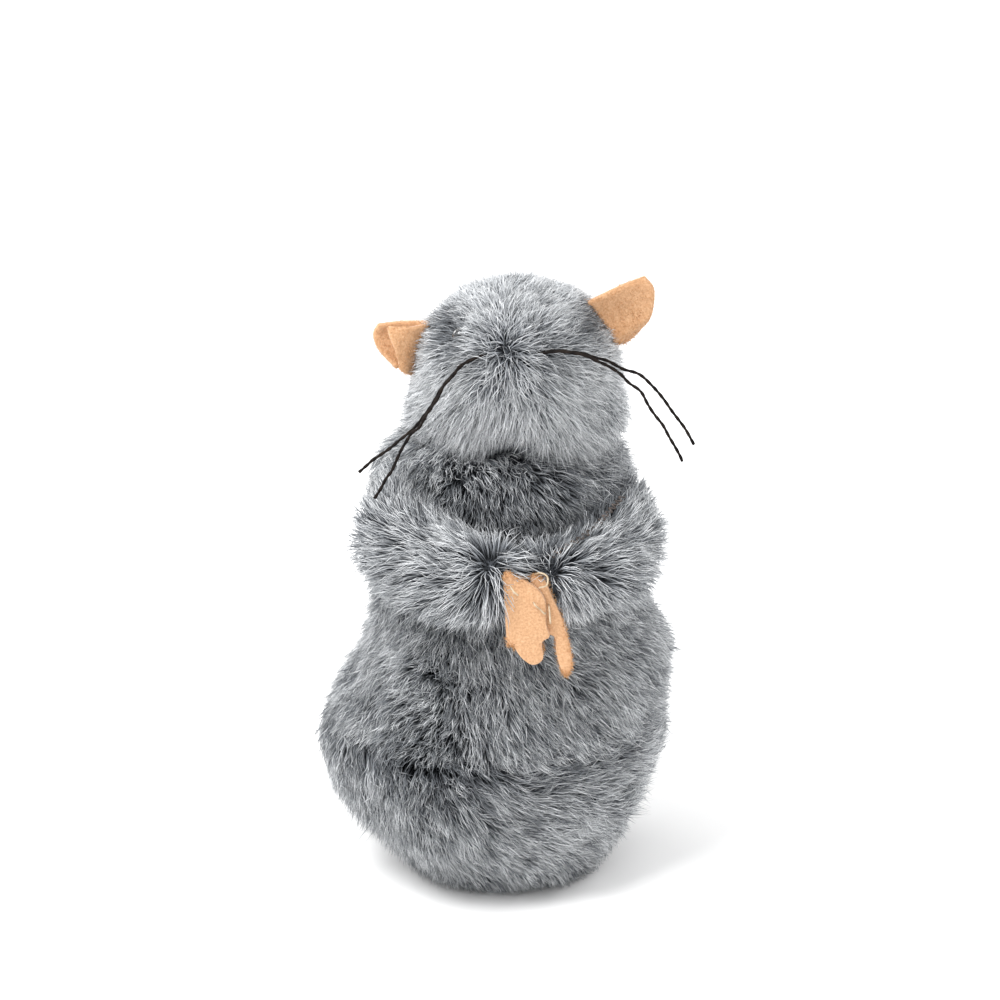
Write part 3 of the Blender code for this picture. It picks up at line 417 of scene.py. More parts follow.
def body_roots(low, high, turn_low=0.0, turn_high=TAU):
    def roots(count, rng):
        line = body_line()
        line = line[(line[:, 1] >= low - 0.6) & (line[:, 1] <= high + 0.6)]
        step = np.diff(line, axis=0)
        span = np.linalg.norm(step, axis=1)
        weight = span * (line[1:, 0] + line[:-1, 0])
        pick = rng.choice(len(step), count, p=weight / weight.sum())
        along = rng.random(count)[:, None]
        spot = line[pick] + step[pick] * along
        turn = rng.uniform(turn_low, turn_high, count)
        c, s = np.cos(turn), np.sin(turn)
        root = settle(np.stack([spot[:, 0] * c, spot[:, 0] * s, spot[:, 1]], axis=1))
        out = np.stack([step[pick, 1], -step[pick, 0]], axis=1) / span[pick][:, None]
        normal = np.stack([out[:, 0] * c, out[:, 0] * s, out[:, 1]], axis=1)
        key = np.hypot(root[:, 0], root[:, 2] - KEY_Z)
        keep = (root[:, 2] >= low) & (root[:, 2] <= high) & ((key > 4.9) | (root[:, 1] < 0))
        root, normal, key = root[keep], normal[keep], key[keep]
        around = across(np.stack([-root[:, 1], root[:, 0], 0 * key], axis=1), normal)
        down = across(np.array([0.0, 0.0, -1.0]), normal)
        z = root[:, 2]
        level = z - SEAM_LIFT - SEAM_RISE * np.clip(root[:, 0] / 27.0, 0, 1) ** 2
        upper = level > SEAM_Z
        ring = np.where(upper, 0.55, np.interp(z, [2, 9, 18, 31], [0.25, 0.6, 0.9, 0.95]))
        fall = np.where(upper, 0.83, np.interp(z, [2, 9, 18, 31], [0.95, 0.55, 0.05, -0.12]))
        left_side = np.clip(-root[:, 0] / 27.0, 0, 1) ** 2
        fall = fall + np.where(upper, 0.0, 0.7 * left_side)
        ledge = np.where(upper, np.exp(-((level - SEAM_Z) / 4.5) ** 2), 0.0)
        flow = ring[:, None] * around + fall[:, None] * down
        away = np.stack([root[:, 0], 0 * z, z - KEY_Z], axis=1)
        near_key = np.exp(-(key / 7.5) ** 2) * (root[:, 1] > 0)
        flow = across(unit(flow) * (1 - near_key[:, None]) + 2.5 * near_key[:, None] * unit(away), normal)
        patch = bell(root, (-12.5, -21, 44), (6.5, 14, 11))
        patch += 0.8 * bell(root, (-15, -22, 25), (6.5, 12, 6))
        chest = bell(root, (-2, -13, 76), (11, 7, 8))
        lean = 1.00 + 0.12 * wave(root, 16, 3) - 0.80 * patch - 0.7 * chest - 0.35 * ledge
        lean = np.where(upper, lean, lean + 0.16 - 0.40 * np.exp(-(z / 6.0) ** 2))
        length = 7.6 + 0.7 * wave(root, 14, 4) + rng.normal(0, 0.8, len(z)) - 1.2 * chest - 1.9 * ledge
        length = np.minimum(length, np.interp(z, [2, 8, 14, 18], [5.2, 5.8, 6.8, 9.5]))
        # painted shadow: the lower band's pile is darkened just below the seam, where the overhanging upper
        # pile shades it
        ledge_shadow = np.where(upper, 0.0, np.exp(-((level - SEAM_Z) / 4.5) ** 2))
        # painted contact shadow: the exp(-(z / 6.5) ** 2) term darkens the pile towards the floor
        tone = (tuft_tone(root, rng) + 0.10 * wave(root, 12, 6) - 0.24 * patch - 0.36 * chest
                - 0.40 * ledge_shadow - 0.35 * np.exp(-(z / 6.5) ** 2)
                + np.where(upper, 0.02, 0.08 + 0.25 * wave(root, 3.6, 33)))
        return root, normal, flow, length, lean, tone
    return roots


def shell(profile, inner, segments=96):
    """Closed turned shell from an outer and an inner (radius, height) line."""
    line = np.vstack([profile, inner[::-1]])
    turn = np.arange(segments) / segments * TAU
    verts = np.stack([line[:, :1] * np.cos(turn), line[:, :1] * np.sin(turn),
                      np.repeat(line[:, 1:], segments, axis=1)], axis=2).reshape(-1, 3)
    faces = grid_faces(len(line), segments)
    last = (len(line) - 1) * segments
    faces += [(last + k, last + (k + 1) % segments, (k + 1) % segments, k) for k in range(segments)]
    return verts, faces


def drum(ring, low, high):
    """Closed drum between two shifted copies of a ring of points."""
    count = len(ring)
    faces = [(k, (k + 1) % count, count + (k + 1) % count, count + k) for k in range(count)]
    faces += [tuple(range(count))[::-1], tuple(count + k for k in range(count))]
    return np.vstack([ring + low, ring + high]), faces


def carve(obj, *cutters):
    """Applies Boolean differences and leaves plain mesh behind."""
    for cutter in cutters:
        mod = obj.modifiers.new("carve", "BOOLEAN")
        mod.operation, mod.solver, mod.object = "DIFFERENCE", "EXACT", cutter
    bpy.context.view_layer.update()
    shaped = bpy.data.meshes.new_from_object(obj.evaluated_get(bpy.context.evaluated_depsgraph_get()))
    obj.modifiers.clear()
    obj.data = shaped
    return obj


def make_body(mats):
    line = body_line()
    slope = unit(np.gradient(line, axis=0))
    inside = line - FABRIC * np.stack([slope[:, 1], -slope[:, 0]], axis=1)
    around = circle(32) * KEY_HOLE_R
    ring = np.stack([around[:, 0], 0 * around[:, 0], KEY_Z + around[:, 1]], axis=1)
    hole = add_mesh("hole", *drum(ring, (0, 11, 0), (0, 34, 0)), mats["plush"])
    for name, low, high in (("upper", SEAM_Z + 0.15, 90.0), ("lower", 0.0, SEAM_Z - 0.15)):
        def clip(path):
            rows = path[(path[:, 1] > low) & (path[:, 1] < high)]
            edge = low if name == "upper" else high
            radius = np.interp(edge, path[:, 1], path[:, 0]) - 0.25
            ends = [[radius, edge]]
            return np.vstack([ends, rows] if name == "upper" else [rows, ends])
        inner = inside.copy()
        inner[:, 1] = np.clip(inner[:, 1], 2.6, None)
        inner = inner[np.append(True, np.diff(inner[:, 1]) > 1e-6)]
        verts, faces = shell(clip(line), clip(inner))
        skin = add_mesh(f"body_backing_{name}", settle(verts), faces, mats["plush"])
        carve(skin, hole)
        finish_piece(skin, "plush", f"body_plush_{name}")
    bpy.data.objects.remove(hole)
    half = math.pi
    for number in range(5):
        start = half + number * TAU / 5
        grow(f"body_pile_upper_{number + 1}",
             body_roots(SEAM_Z + 0.5, 88.0, start, start + TAU / 5), 11800, mats["fur"], 20 + number,
             nodes=("body_plush_upper",))
    for number in range(3):
        start = half + number * TAU / 3
        grow(f"body_pile_lower_{number + 1}",
             body_roots(2.6, SEAM_Z - 0.4, start, start + TAU / 3), 11500, mats["fur"], 30 + number,
             nodes=("body_plush_lower",))


# ---- head ------------------------------------------------------------------------
HEAD_CENTRE = np.array([2.2, -1.5, 102.6])
SNOUT_AXIS = unit(np.array([-0.07, -0.92, 0.37]))
HEAD_PROFILE = np.array([  # (radius, distance along the snout axis), crown to nose
    (0.0, -15.0), (6.4, -13.6), (11.4, -10.2), (14.6, -5.2), (15.6, 0.0), (14.9, 4.5),
    (12.4, 9.0), (9.0, 12.6), (6.0, 15.4), (3.4, 17.6), (0.0, 18.9)])
WHORL = np.array([-0.2, -19.5, 112.0])       # the pile lies away from here
NECK_R = 6                                   # opening under the head


def head_settle(p):
    """Full cheeks and a slightly flat crown."""
    p = np.array(p, dtype=float)
    low = np.clip((HEAD_CENTRE[2] - p[:, 2]) / 9.0, 0, 1)
    p[:, 0] = HEAD_CENTRE[0] + (p[:, 0] - HEAD_CENTRE[0]) * (1 + 0.34 * low)
    high = np.clip((p[:, 2] - HEAD_CENTRE[2] - 6.0) / 10.0, 0, 1)
    p[:, 2] -= 1.6 * high
    return p


def head_frame():
    side = unit(np.cross(SNOUT_AXIS, (0.0, 0.0, 1.0)))
    return side, np.cross(side, SNOUT_AXIS)


def head_roots(count, rng):
    line = smooth_route(HEAD_PROFILE, 6)
    line[:, 0] = np.maximum(line[:, 0], 0.05)
    step = np.diff(line, axis=0)
    span = np.linalg.norm(step, axis=1)
    weight = span * (line[1:, 0] + line[:-1, 0])
    pick = rng.choice(len(step), count, p=weight / weight.sum())
    spot = line[pick] + step[pick] * rng.random(count)[:, None]
    turn = rng.uniform(0, TAU, count)
    side, up = head_frame()
    radial = np.cos(turn)[:, None] * side + np.sin(turn)[:, None] * up
    root = head_settle(HEAD_CENTRE + spot[:, :1] * radial + spot[:, 1:] * SNOUT_AXIS)
    out = np.stack([step[pick, 1], -step[pick, 0]], axis=1) / span[pick][:, None]
    normal = unit(out[:, :1] * radial + out[:, 1:] * SNOUT_AXIS)
    off_neck = np.hypot(root[:, 0] - HEAD_CENTRE[0], root[:, 1] - HEAD_CENTRE[1]) > 5.5
    keep = off_neck | (root[:, 2] > 95)
    root, normal = root[keep], normal[keep]
    from_nose = root - WHORL
    flow = across(unit(from_nose) + np.array([0.0, 0.0, -0.18]), normal)
    gap = np.linalg.norm(from_nose, axis=1)
    muzzle = bell(root, (1.0, -16.0, 101.0), (9.0, 6.0, 5.5))
    crown = bell(root, (2.0, -1.0, 119.0), (14.0, 9.0, 7.0))
    eye_tufts = (bell(root, (-8.6, -11.2, 111.6), (2.3, 4, 2.0))
                 + bell(root, (14.2, -11.0, 112.8), (2.5, 4, 2.2)))
    jaw = np.clip((99.0 - root[:, 2]) / 8.0, 0, 1)
    cleft = bell(root, (1.2, -12.5, 92.6), (2.6, 6.0, 4.0))
    # painted shade: the pile in the hollows beside the eyes is darkened in tone
    eye_hollow_shade = bell(root, (-4.6, -16.0, 109.0), (2.4, 5, 1.3)) + bell(root, (7.0, -16.0, 110.0), (2.6, 5, 1.3))
    # painted shade: the pile on the underside of the head, over the neck, is darkened in tone
    shaded_underside = bell(root, (2.0, -9.0, 88.5), (14, 9, 2.6))
    lean = 1.02 + 0.20 * np.exp(-(gap / 7.0) ** 2) - 0.1 * muzzle + 0.12 * crown - 0.25 * jaw
    length = (6.6 + 2.6 * muzzle - 1.2 * crown + 1.4 * jaw + 0.5 * wave(root, 12, 14)
              + rng.normal(0, 0.6, len(root)) - 1.6 * np.exp(-(gap / 5.0) ** 2))
    length = length * (1 - 0.6 * eye_tufts - 0.7 * cleft)
    tone = (tuft_tone(root, rng) + 0.31 + 0.15 * muzzle + 0.20 * crown + 0.06 * wave(root, 10, 16)
            - 1.6 * eye_tufts - 1.6 * cleft - 0.5 * shaded_underside - 0.6 * eye_hollow_shade)
    near = np.exp(-(gap / 7.0) ** 2)[:, None]
    flow = across(flow + 1.5 * near * unit(rng.normal(size=root.shape)), normal)
    return root, normal, flow, length, lean, tone


def make_head(mats):
    side, up = head_frame()
    line = smooth_route(HEAD_PROFILE, 5)
    inner = line - (FABRIC, 0.0)
    inner[:, 1] = np.interp(inner[:, 1], [-15.0, 18.9], [-15.0 + FABRIC, 18.9 - FABRIC])
    line, inner = (np.vstack([[(0.0, shape[0, 1])], shape[shape[:, 0] > 0.4], [(0.0, shape[-1, 1])]])
                   for shape in (line, inner))
    segments = 64
    turn = np.arange(segments) / segments * TAU
    radial = np.cos(turn)[:, None] * side + np.sin(turn)[:, None] * up
    bm = bmesh.new()
    for shape, flip in ((line, False), (inner, True)):
        rings = [[bm.verts.new((HEAD_CENTRE + height * SNOUT_AXIS) * MM)] if radius <= 1e-6 else
                 [bm.verts.new((HEAD_CENTRE + radius * r + height * SNOUT_AXIS) * MM) for r in radial]
                 for radius, height in shape]
        for low, high in zip(rings, rings[1:]):
            for k in range(segments):
                n = (k + 1) % segments
                corners = [low[k % len(low)], low[n % len(low)], high[n % len(high)], high[k % len(high)]]
                corners = list(dict.fromkeys(corners))
                bm.faces.new(corners[::-1] if flip else corners)
    mesh = bpy.data.meshes.new("head_backing")
    for vert in bm.verts:
        vert.co = Vector(head_settle(np.array([vert.co[:]]) / MM)[0] * MM)
    bm.to_mesh(mesh)
    bm.free()
    mesh.materials.append(mats["plush"])
    mesh.shade_smooth()
    skin = bpy.data.objects.new("head_backing", mesh)
    bpy.context.scene.collection.objects.link(skin)
    ring = np.column_stack([HEAD_CENTRE[:2] + NECK_R * circle(32), np.zeros(32)])
    neck = add_mesh("neck", *drum(ring, (0, 0, 82), (0, 0, 95)), mats["plush"])
    carve(skin, neck)
    bpy.data.objects.remove(neck)
    finish_piece(skin, "plush", "head_plush")
    for number in range(3):
        grow(f"head_pile_{number + 1}", head_roots, 11500, mats["fur"], 40 + number, radius=0.096,
             nodes=("head_plush",))


EYE_R = 1.6
EYE_DIRECTIONS = {"eye_right": (-0.66, -0.53, 0.54), "eye_left": (0.62, -0.53, 0.58)}
EYE_DISTANCE = 15.9


def make_eyes(mats):
    rows, columns = 19, 32
    latitude = np.arange(1, rows + 1) / (rows + 1) * math.pi
    verts = np.vstack([np.column_stack([circle(columns) * math.sin(a), np.full(columns, -math.cos(a))])
                       for a in latitude] + [(0, 0, -1), (0, 0, 1)]) * EYE_R
    bottom, top, last = rows * columns, rows * columns + 1, (rows - 1) * columns
    faces = grid_faces(rows, columns)
    for k in range(columns):
        n = (k + 1) % columns
        faces += [(n, k, bottom), (last + k, last + n, top)]
    for name, direction in EYE_DIRECTIONS.items():
        bead = add_mesh(name + "_bead", verts, faces, mats["eye_glass_black"])
        bead.location = Vector((HEAD_CENTRE + unit(np.array(direction)) * EYE_DISTANCE) * MM)
        finish_piece(bead, "eye_glass_black", name)


# ---- arms ------------------------------------------------------------------------
ARM_PATHS = {
    "right": [(-8.0, 1.0, 77.0), (-14.6, -4.5, 75.0), (-17.8, -12.6, 71.6),
              (-14.4, -21.4, 69.6), (-7.6, -26.4, 69.4), (-1.6, -28.6, 70.2)],
    "left": [(8.0, 1.0, 77.0), (15.0, -4.5, 75.4), (19.0, -12.0, 72.4),
             (18.0, -20.4, 70.6), (13.6, -25.8, 70.2), (8.6, -28.4, 70.4)],
}
ARM_RADII = [7.0, 7.2, 6.8, 6.0, 5.1, 4.0]


WRIST_GATHERS = {"right": (-1.4, -32.5, 71.2), "left": (8.4, -32.0, 72.6)}
DRAPE = (-1.0, -32.0, 71.8)      # pile that hangs over the right paw's edge
SLEEVE_SEAM = [(22.0, -12.0, 80.0), (15.8, -22.0, 77.2), (8.2, -29.0, 74.8)]


def torso_radius(z):
    return np.interp(z, BODY_PROFILE[:, 1], BODY_PROFILE[:, 0])


def arm_route(side, steps=8):
    route = smooth_route(ARM_PATHS[side], steps)
    radii = np.interp(np.arange(len(route)) / steps, np.arange(len(ARM_RADII)), ARM_RADII)
    ahead = unit(route[-1] - route[-2])
    tip = route[-1]
    for angle in (20, 40, 60, 78):
        route = np.vstack([route, tip + ahead * ARM_RADII[-1] * math.sin(math.radians(angle))])
        radii = np.append(radii, ARM_RADII[-1] * math.cos(math.radians(angle)))
    return route, radii


def arm_roots(side):
    def roots(count, rng):
        route, radii = arm_route(side)
        step = np.diff(route, axis=0)
        span = np.linalg.norm(step, axis=1)
        weight = span * (radii[1:] + radii[:-1]) + 0.1
        pick = rng.choice(len(step), count, p=weight / weight.sum())
        part = rng.random(count)[:, None]
        centre = route[pick] + step[pick] * part
        radius = radii[pick][:, None] * (1 - part) + radii[pick + 1][:, None] * part
        ahead = unit(np.gradient(route, axis=0))[pick]
        s = unit(np.cross(ahead, (0.12, 0.2, 1.0)))
        u = np.cross(s, ahead)
        turn = rng.uniform(0, TAU, count)
        radial = np.cos(turn)[:, None] * s + np.sin(turn)[:, None] * u
        taper = ((radii[pick] - radii[pick + 1]) / span[pick])[:, None]
        normal = unit(radial + np.clip(taper, -0.5, 2.0) * ahead)
        root = centre + radius * radial
        keep = np.hypot(root[:, 0], root[:, 1]) > torso_radius(root[:, 2]) + 0.2
        root, normal, ahead, pick = root[keep], normal[keep], ahead[keep], pick[keep]
        wrist = np.array(ARM_PATHS[side][-1])
        share = np.clip(pick / len(step), 0, 1)
        gap = np.linalg.norm(root - wrist, axis=1)
        back = across(-ahead + np.array([0.0, 0.0, -0.5]) * (0.3 + 0.7 * (1 - share[:, None])), normal)
        gather = np.array(WRIST_GATHERS[side])
        near = np.exp(-(np.linalg.norm(root - gather, axis=1) / 7.0) ** 2)[:, None]
        back = across(back * (1 - near) + 1.4 * near * unit(root - gather), normal)
        drape = bell(root, DRAPE, (1.9, 4.0, 2.6)) * (side == "right")
        hang = 1.8 * drape[:, None] * np.array([0.42, -0.1, -0.9])
        back = across(back * (1 - drape[:, None]) + hang, normal)
        lean = (0.90 + 0.25 * np.exp(-(gap / 5.0) ** 2) + 0.1 * wave(root, 10, 21)
                - 0.75 * np.exp(-(np.linalg.norm(root - gather, axis=1) / 3.2) ** 2) * (1 - drape))
        # painted shade: pile on the arm's downward-facing side is darkened in tone; it is also shorter there
        shaded_underside = np.clip(-normal[:, 2], 0, 1)
        length = (7.2 + 0.6 * wave(root, 9, 22) + rng.normal(0, 0.7, len(root)) - 1.8 * shaded_underside
                  + 0.9 * near[:, 0] + 1.2 * drape)
        tone = (tuft_tone(root, rng) + 0.05 + 0.22 * np.exp(-(gap / 8.0) ** 2) + 0.08 * wave(root, 8, 23)
                - 0.3 * shaded_underside + 0.25 * drape)
        if side == "left":
            seam = smooth_route(SLEEVE_SEAM, 8)
            near = np.min(np.linalg.norm(root[:, None] - seam[None], axis=2), axis=1)
            parting = np.exp(-(near / 1.9) ** 2)
            length = length * (1 - 0.7 * parting)
            tone = tone - 1.1 * parting
        return root, normal, back, length, lean, tone
    return roots


def make_arms(mats):
    for side in ("right", "left"):
        route, radii = arm_route(side, 6)
        verts, faces = tube(route, lambda i: circle(32) * radii[i])
        skin = add_mesh(f"arm_backing_{side}", verts, faces, mats["plush"])
        torso_verts, torso_faces = torso_solid()
        torso = add_mesh("torso", torso_verts, torso_faces, mats["plush"])
        carve(skin, torso)
        bpy.data.objects.remove(torso)
        finish_piece(skin, "plush", f"arm_plush_{side}")
        grow(f"arm_pile_{side}", arm_roots(side), 11800, mats["fur"], 50 + (side == "left"),
             nodes=(f"arm_plush_{side}",))


def torso_solid(segments=64):
    line = BODY_PROFILE + (0.3, 0.0)
    turn = np.arange(segments) / segments * TAU
    verts = np.stack([line[:, :1] * np.cos(turn), line[:, :1] * np.sin(turn),
                      np.repeat(line[:, 1:], segments, axis=1)], axis=2).reshape(-1, 3)
    last = (len(line) - 1) * segments
    faces = grid_faces(len(line), segments)
    faces += [tuple(range(segments))[::-1], tuple(last + k for k in range(segments))]
    return verts, faces


def make_stuffing(mats):
    """Lumpy filling that copies the room each stuffed part leaves for it."""
    for node in ("body_stuffing", "head_stuffing", "arm_stuffing_left", "arm_stuffing_right"):
        source = frame["nodes"][node]
        bm = bmesh.new()
        bm.from_mesh(source.data)
        bm.transform(source.matrix_world)
        bmesh.ops.triangulate(bm, faces=bm.faces[:])
        bmesh.ops.subdivide_edges(bm, edges=bm.edges[:], cuts=1, use_grid_fill=True)
        bm.normal_update()
        places = np.array([v.co[:] for v in bm.verts]) / MM
        lumps = -0.22 + 0.20 * np.clip(wave(places, 5, 61), -1, 1)
        for vert, lump in zip(bm.verts, lumps):
            vert.co += vert.normal * lump * MM
        mesh = bpy.data.meshes.new(node + "_fill")
        bm.to_mesh(mesh)
        bm.free()
        mesh.materials.append(mats["stuffing"])
        mesh.shade_smooth()
        filling = bpy.data.objects.new(node + "_fill", mesh)
        bpy.context.scene.collection.objects.link(filling)
        finish_piece(filling, "stuffing", node)


# ---- felt ------------------------------------------------------------------------
FELT = 1.1                  # thickness


def fuzz(name, verts, normals, mats, count, seed):
    """Short loose fibres that soften the felt's edges and faces."""
    rng = np.random.default_rng(seed)
    pick = rng.integers(0, len(verts), count)
    normal = unit(normals[pick] + rng.normal(0, 0.35, (count, 3)))
    root = verts[pick] + rng.normal(0, 0.18, (count, 3)) * (1 - np.abs(normals[pick]))
    flow = across(rng.normal(size=(count, 3)), normal)
    length = rng.uniform(0.45, 1.1, count)
    lean = rng.uniform(0.6, 1.3, count)
    tone = rng.random(count)
    points = lay_strands(root, normal, flow, length, lean, rng, clump=0)
    obj = strand_mesh(name, points, np.full(count, 0.035), tone, mats["fuzz"], rng)
    return finish_piece(obj, "felt")


def felt_sheet(name, node, centre_grid, mats, seed):
    """Felt of real thickness round a (rows, columns, 3) grid of points."""
    rows, columns = centre_grid.shape[:2]
    du = np.gradient(centre_grid, axis=1)
    dv = np.gradient(centre_grid, axis=0)
    normal = unit(np.cross(du, dv))
    rim = np.ones((rows, columns, 1))
    for edge in (rim[0], rim[-1], rim[:, 0], rim[:, -1]):
        edge[:] = 0.72
    front = centre_grid + normal * FELT / 2 * rim
    back = centre_grid - normal * FELT / 2 * rim
    verts = np.vstack([front.reshape(-1, 3), back.reshape(-1, 3)])
    size = rows * columns
    faces = grid_faces(rows, columns, wrap=False)
    faces = faces + [tuple(size + v for v in face[::-1]) for face in faces]
    rim_loop = [(0, k) for k in range(columns)] + [(i, columns - 1) for i in range(1, rows)]
    rim_loop += [(rows - 1, k) for k in range(columns - 2, -1, -1)] + [(i, 0) for i in range(rows - 2, 0, -1)]
    loop = [i * columns + k for i, k in rim_loop]
    faces += [(loop[i], size + loop[i], size + loop[(i + 1) % len(loop)], loop[(i + 1) % len(loop)])
              for i in range(len(loop))]
    obj = add_mesh(name, verts, faces, mats["felt"])
    bm = bmesh.new()
    bm.from_mesh(obj.data)
    bmesh.ops.recalc_face_normals(bm, faces=bm.faces[:])
    bm.to_mesh(obj.data)
    normals = np.array([v.normal[:] for v in bm.verts])
    places = np.array([v.co[:] for v in bm.verts]) / MM
    bm.free()
    obj.data.shade_smooth()
    finish_piece(obj, "felt", node)
    fibres = fuzz(name + "_fibres", places, normals, mats, 2200, seed)
    return obj


def polyline(points, count):
    line = smooth_route(points, 8)
    length = np.concatenate([[0], np.cumsum(np.linalg.norm(np.diff(line, axis=0), axis=1))])
    where = np.linspace(0, length[-1], count)
    return np.stack([np.interp(where, length, line[:, k]) for k in range(line.shape[1])], axis=1)


def make_ears(mats):
    count = 22
    # the right ear is one piece of felt doubled over into an open cone
    front = polyline([(-19.4, -4.6, 102.7), (-20.6, -5.4, 106.8), (-21.6, -5.0, 109.4), (-22.0, -3.8, 110.8)],
                     count)
    fold = polyline([(-17.8, -2.6, 100.9), (-15.2, -1.4, 105.8), (-14.2, -1.6, 110.6)], count)
    back = polyline([(-20.3, -2.0, 102.0), (-23.6, -0.8, 105.0), (-24.7, -0.2, 107.8), (-23.7, -0.6, 110.0)],
                    count)
    grid = np.zeros((count, 2 * count - 1, 3))
    for k in range(count):
        share = k / (count - 1)
        bow = math.sin(share * math.pi)
        grid[:, k] = front * (1 - share) + fold * share + np.array([0, -1.0, 0.0]) * bow
        grid[:, 2 * count - 2 - k] = (back * (1 - share) + (fold + (0, 1.3, 0)) * share
                                      + np.array([0, 0.9, 0.0]) * bow)
    middle = count - 1
    grid[:, middle] = (grid[:, middle - 1] + grid[:, middle + 1]) / 2 + np.array([0.9, 0, 0])
    felt_sheet("ear_right_felt", "ear_right", grid, mats,
               71)
    # the left ear is a flat leaf with its lower outer corner turned back
    top = polyline([(15.4, -2.4, 115.2), (21.4, -3.2, 118.6), (25.9, -3.4, 120.6)], count)
    bottom = polyline([(20.6, -2.2, 106.6), (22.6, -2.6, 106.2), (24.2, -2.4, 106.6)], count)
    outer = polyline([(25.9, -3.4, 120.6), (27.7, -3.4, 118.0), (27.4, -3.2, 113.4), (26.5, -3.0, 111.2),
                      (24.2, -2.4, 106.6)], count)
    inner = polyline([(15.4, -2.4, 115.2), (18.2, -1.8, 111.0), (20.6, -2.2, 106.6)], count)
    grid = np.zeros((count, count, 3))
    for i in range(count):
        v = i / (count - 1)
        for k in range(count):
            u = k / (count - 1)
            bilinear = ((1 - u) * (1 - v) * top[0] + u * (1 - v) * top[-1]
                        + (1 - u) * v * bottom[0] + u * v * bottom[-1])
            grid[i, k] = ((1 - v) * top[k] + v * bottom[k] + (1 - u) * inner[i] + u * outer[i] - bilinear)
            bow = math.sin(u * math.pi) * math.sin(v * math.pi)
            turned = max(0.0, v + 0.33 * u - 0.93)
            grid[i, k] += np.array([-1.5 * turned, 0.9 * bow + 8.0 * turned, 1.5 * turned])
    felt_sheet("ear_left_felt", "ear_left", grid, mats,
               72)


PAWS = {  # (x, z) outline clockwise from the wrist, and the y of the front face
    "paw_right": ([(-0.4, 73.4), (2.3, 73.5), (5.7, 71.5), (7.4, 68.8), (7.6, 64.1), (8.2, 61.8),
                   (6.8, 60.6), (7.0, 57.4), (5.1, 56.2), (3.0, 57.6), (1.5, 59.9), (0.2, 61.4)], -36.0),
    "paw_left": ([(4.6, 72.7), (7.0, 72.7), (8.8, 68.8), (10.3, 65.3), (11.5, 61.3), (12.4, 55.9),
                  (11.4, 53.4), (10.3, 54.7), (9.4, 58.1), (9.0, 61.2), (6.4, 61.9), (5.0, 66.8)], -34.5),
}


def make_paws(mats):
    for number, (name, (outline, front)) in enumerate(PAWS.items()):
        closed = np.array([*outline[-1:], *outline, *outline[:2]], dtype=float)
        rim = smooth_route(closed, 4)[4:-8]
        top, low = rim[:, 1].max(), rim[:, 1].min()
        edge = [(0.30, 0.0), (0.08, 0.10), (0.0, 0.32)]     # (inset, depth) round the felt's edge
        layers = edge + [(inset, FELT - depth) for inset, depth in reversed(edge)]
        inward = np.roll(rim, -1, axis=0) - np.roll(rim, 1, axis=0)
        inward = unit(np.stack([inward[:, 1], -inward[:, 0]], axis=1))
        middle = rim.mean(axis=0)
        if np.mean(np.sum(inward * (middle - rim), axis=1)) < 0:
            inward = -inward
        bm = bmesh.new()
        loops = []
        for inset, depth in layers:
            ring = rim + inward * inset
            bend = 0.45 * ((top - ring[:, 1]) / (top - low)) ** 2
            loops.append([bm.verts.new((x * MM, (front + depth - b) * MM, z * MM))
                          for (x, z), b in zip(ring, bend)])
        count = len(rim)
        for near, far in zip(loops, loops[1:]):
            for k in range(count):
                n = (k + 1) % count
                bm.faces.new((near[k], near[n], far[n], far[k]))
        for loop in (loops[0], loops[-1]):
            bmesh.ops.triangle_fill(bm, use_beauty=True, edges=[
                bm.edges.get((loop[k], loop[(k + 1) % count])) for k in range(count)])
        bmesh.ops.recalc_face_normals(bm, faces=bm.faces[:])
        mesh = bpy.data.meshes.new(name + "_felt")
        bm.to_mesh(mesh)
        normals = np.array([v.normal[:] for v in bm.verts])
        places = np.array([v.co[:] for v in bm.verts]) / MM
        bm.free()
        mesh.materials.append(mats["felt"])
        mesh.shade_smooth()
        mesh.set_sharp_from_angle(angle=math.radians(50))
        paw = bpy.data.objects.new(name + "_felt", mesh)
        bpy.context.scene.collection.objects.link(paw)
        finish_piece(paw, "felt", name)
        fibres = fuzz(name + "_fibres", places, normals, mats, 2000, 74 + number)


def thread_piece(name, routes, radius, mat):
    verts, faces = [], []
    for route in routes:
        piece, sides = tube(smooth_route(route, 6), lambda i: circle(8) * radius)
        done = sum(len(block) for block in verts)
        faces += [tuple(v + done for v in side) for side in sides]
        verts.append(piece)
    return add_mesh(name, np.vstack(verts), faces, mat)


def make_sleeve_seam(mats):
    """Overcast stitches that close the left sleeve, half sunk in the pile."""
    line = polyline([(22.0, -15.0, 81.2), (15.8, -26.0, 78.8), (8.2, -32.4, 76.2)], 34)
    ahead = unit(np.gradient(line, axis=0))
    aside = unit(np.cross(ahead, (0.0, -0.6, 0.8)))
    zigzag = np.where(np.arange(34) % 2, 0.55, -0.55)[:, None]
    finish_piece(thread_piece("sleeve_seam_thread", [line + aside * zigzag], 0.15, mats["seam_thread"]),
                 "sewing_thread")


def make_stitches(mats):
    """One sewing thread holds both paws; its loose loop and cut end show beside them."""
    stitches = [
        [(7.9, -33.0, 67.6), (8.1, -36.2, 67.4), (8.2, -36.5, 66.2), (8.3, -36.2, 64.6), (8.3, -33.0, 64.3)],
        [(5.2, -33.0, 69.0), (5.3, -36.4, 68.6), (6.4, -36.7, 67.6), (7.3, -36.4, 66.6), (7.4, -33.0, 66.4)],
        [(5.4, -34.0, 73.4), (6.4, -35.6, 74.4), (7.7, -36.0, 73.8), (7.6, -36.2, 72.2), (6.2, -36.0, 71.6)],
        [(0.9, -36.9, 72.4), (1.5, -37.4, 71.5), (2.4, -37.5, 70.7)],
    ]
    threads = thread_piece("paw_stitches", stitches, 0.17, mats["sewing_thread"])
    finish_piece(threads, "sewing_thread", "paw_stitch")


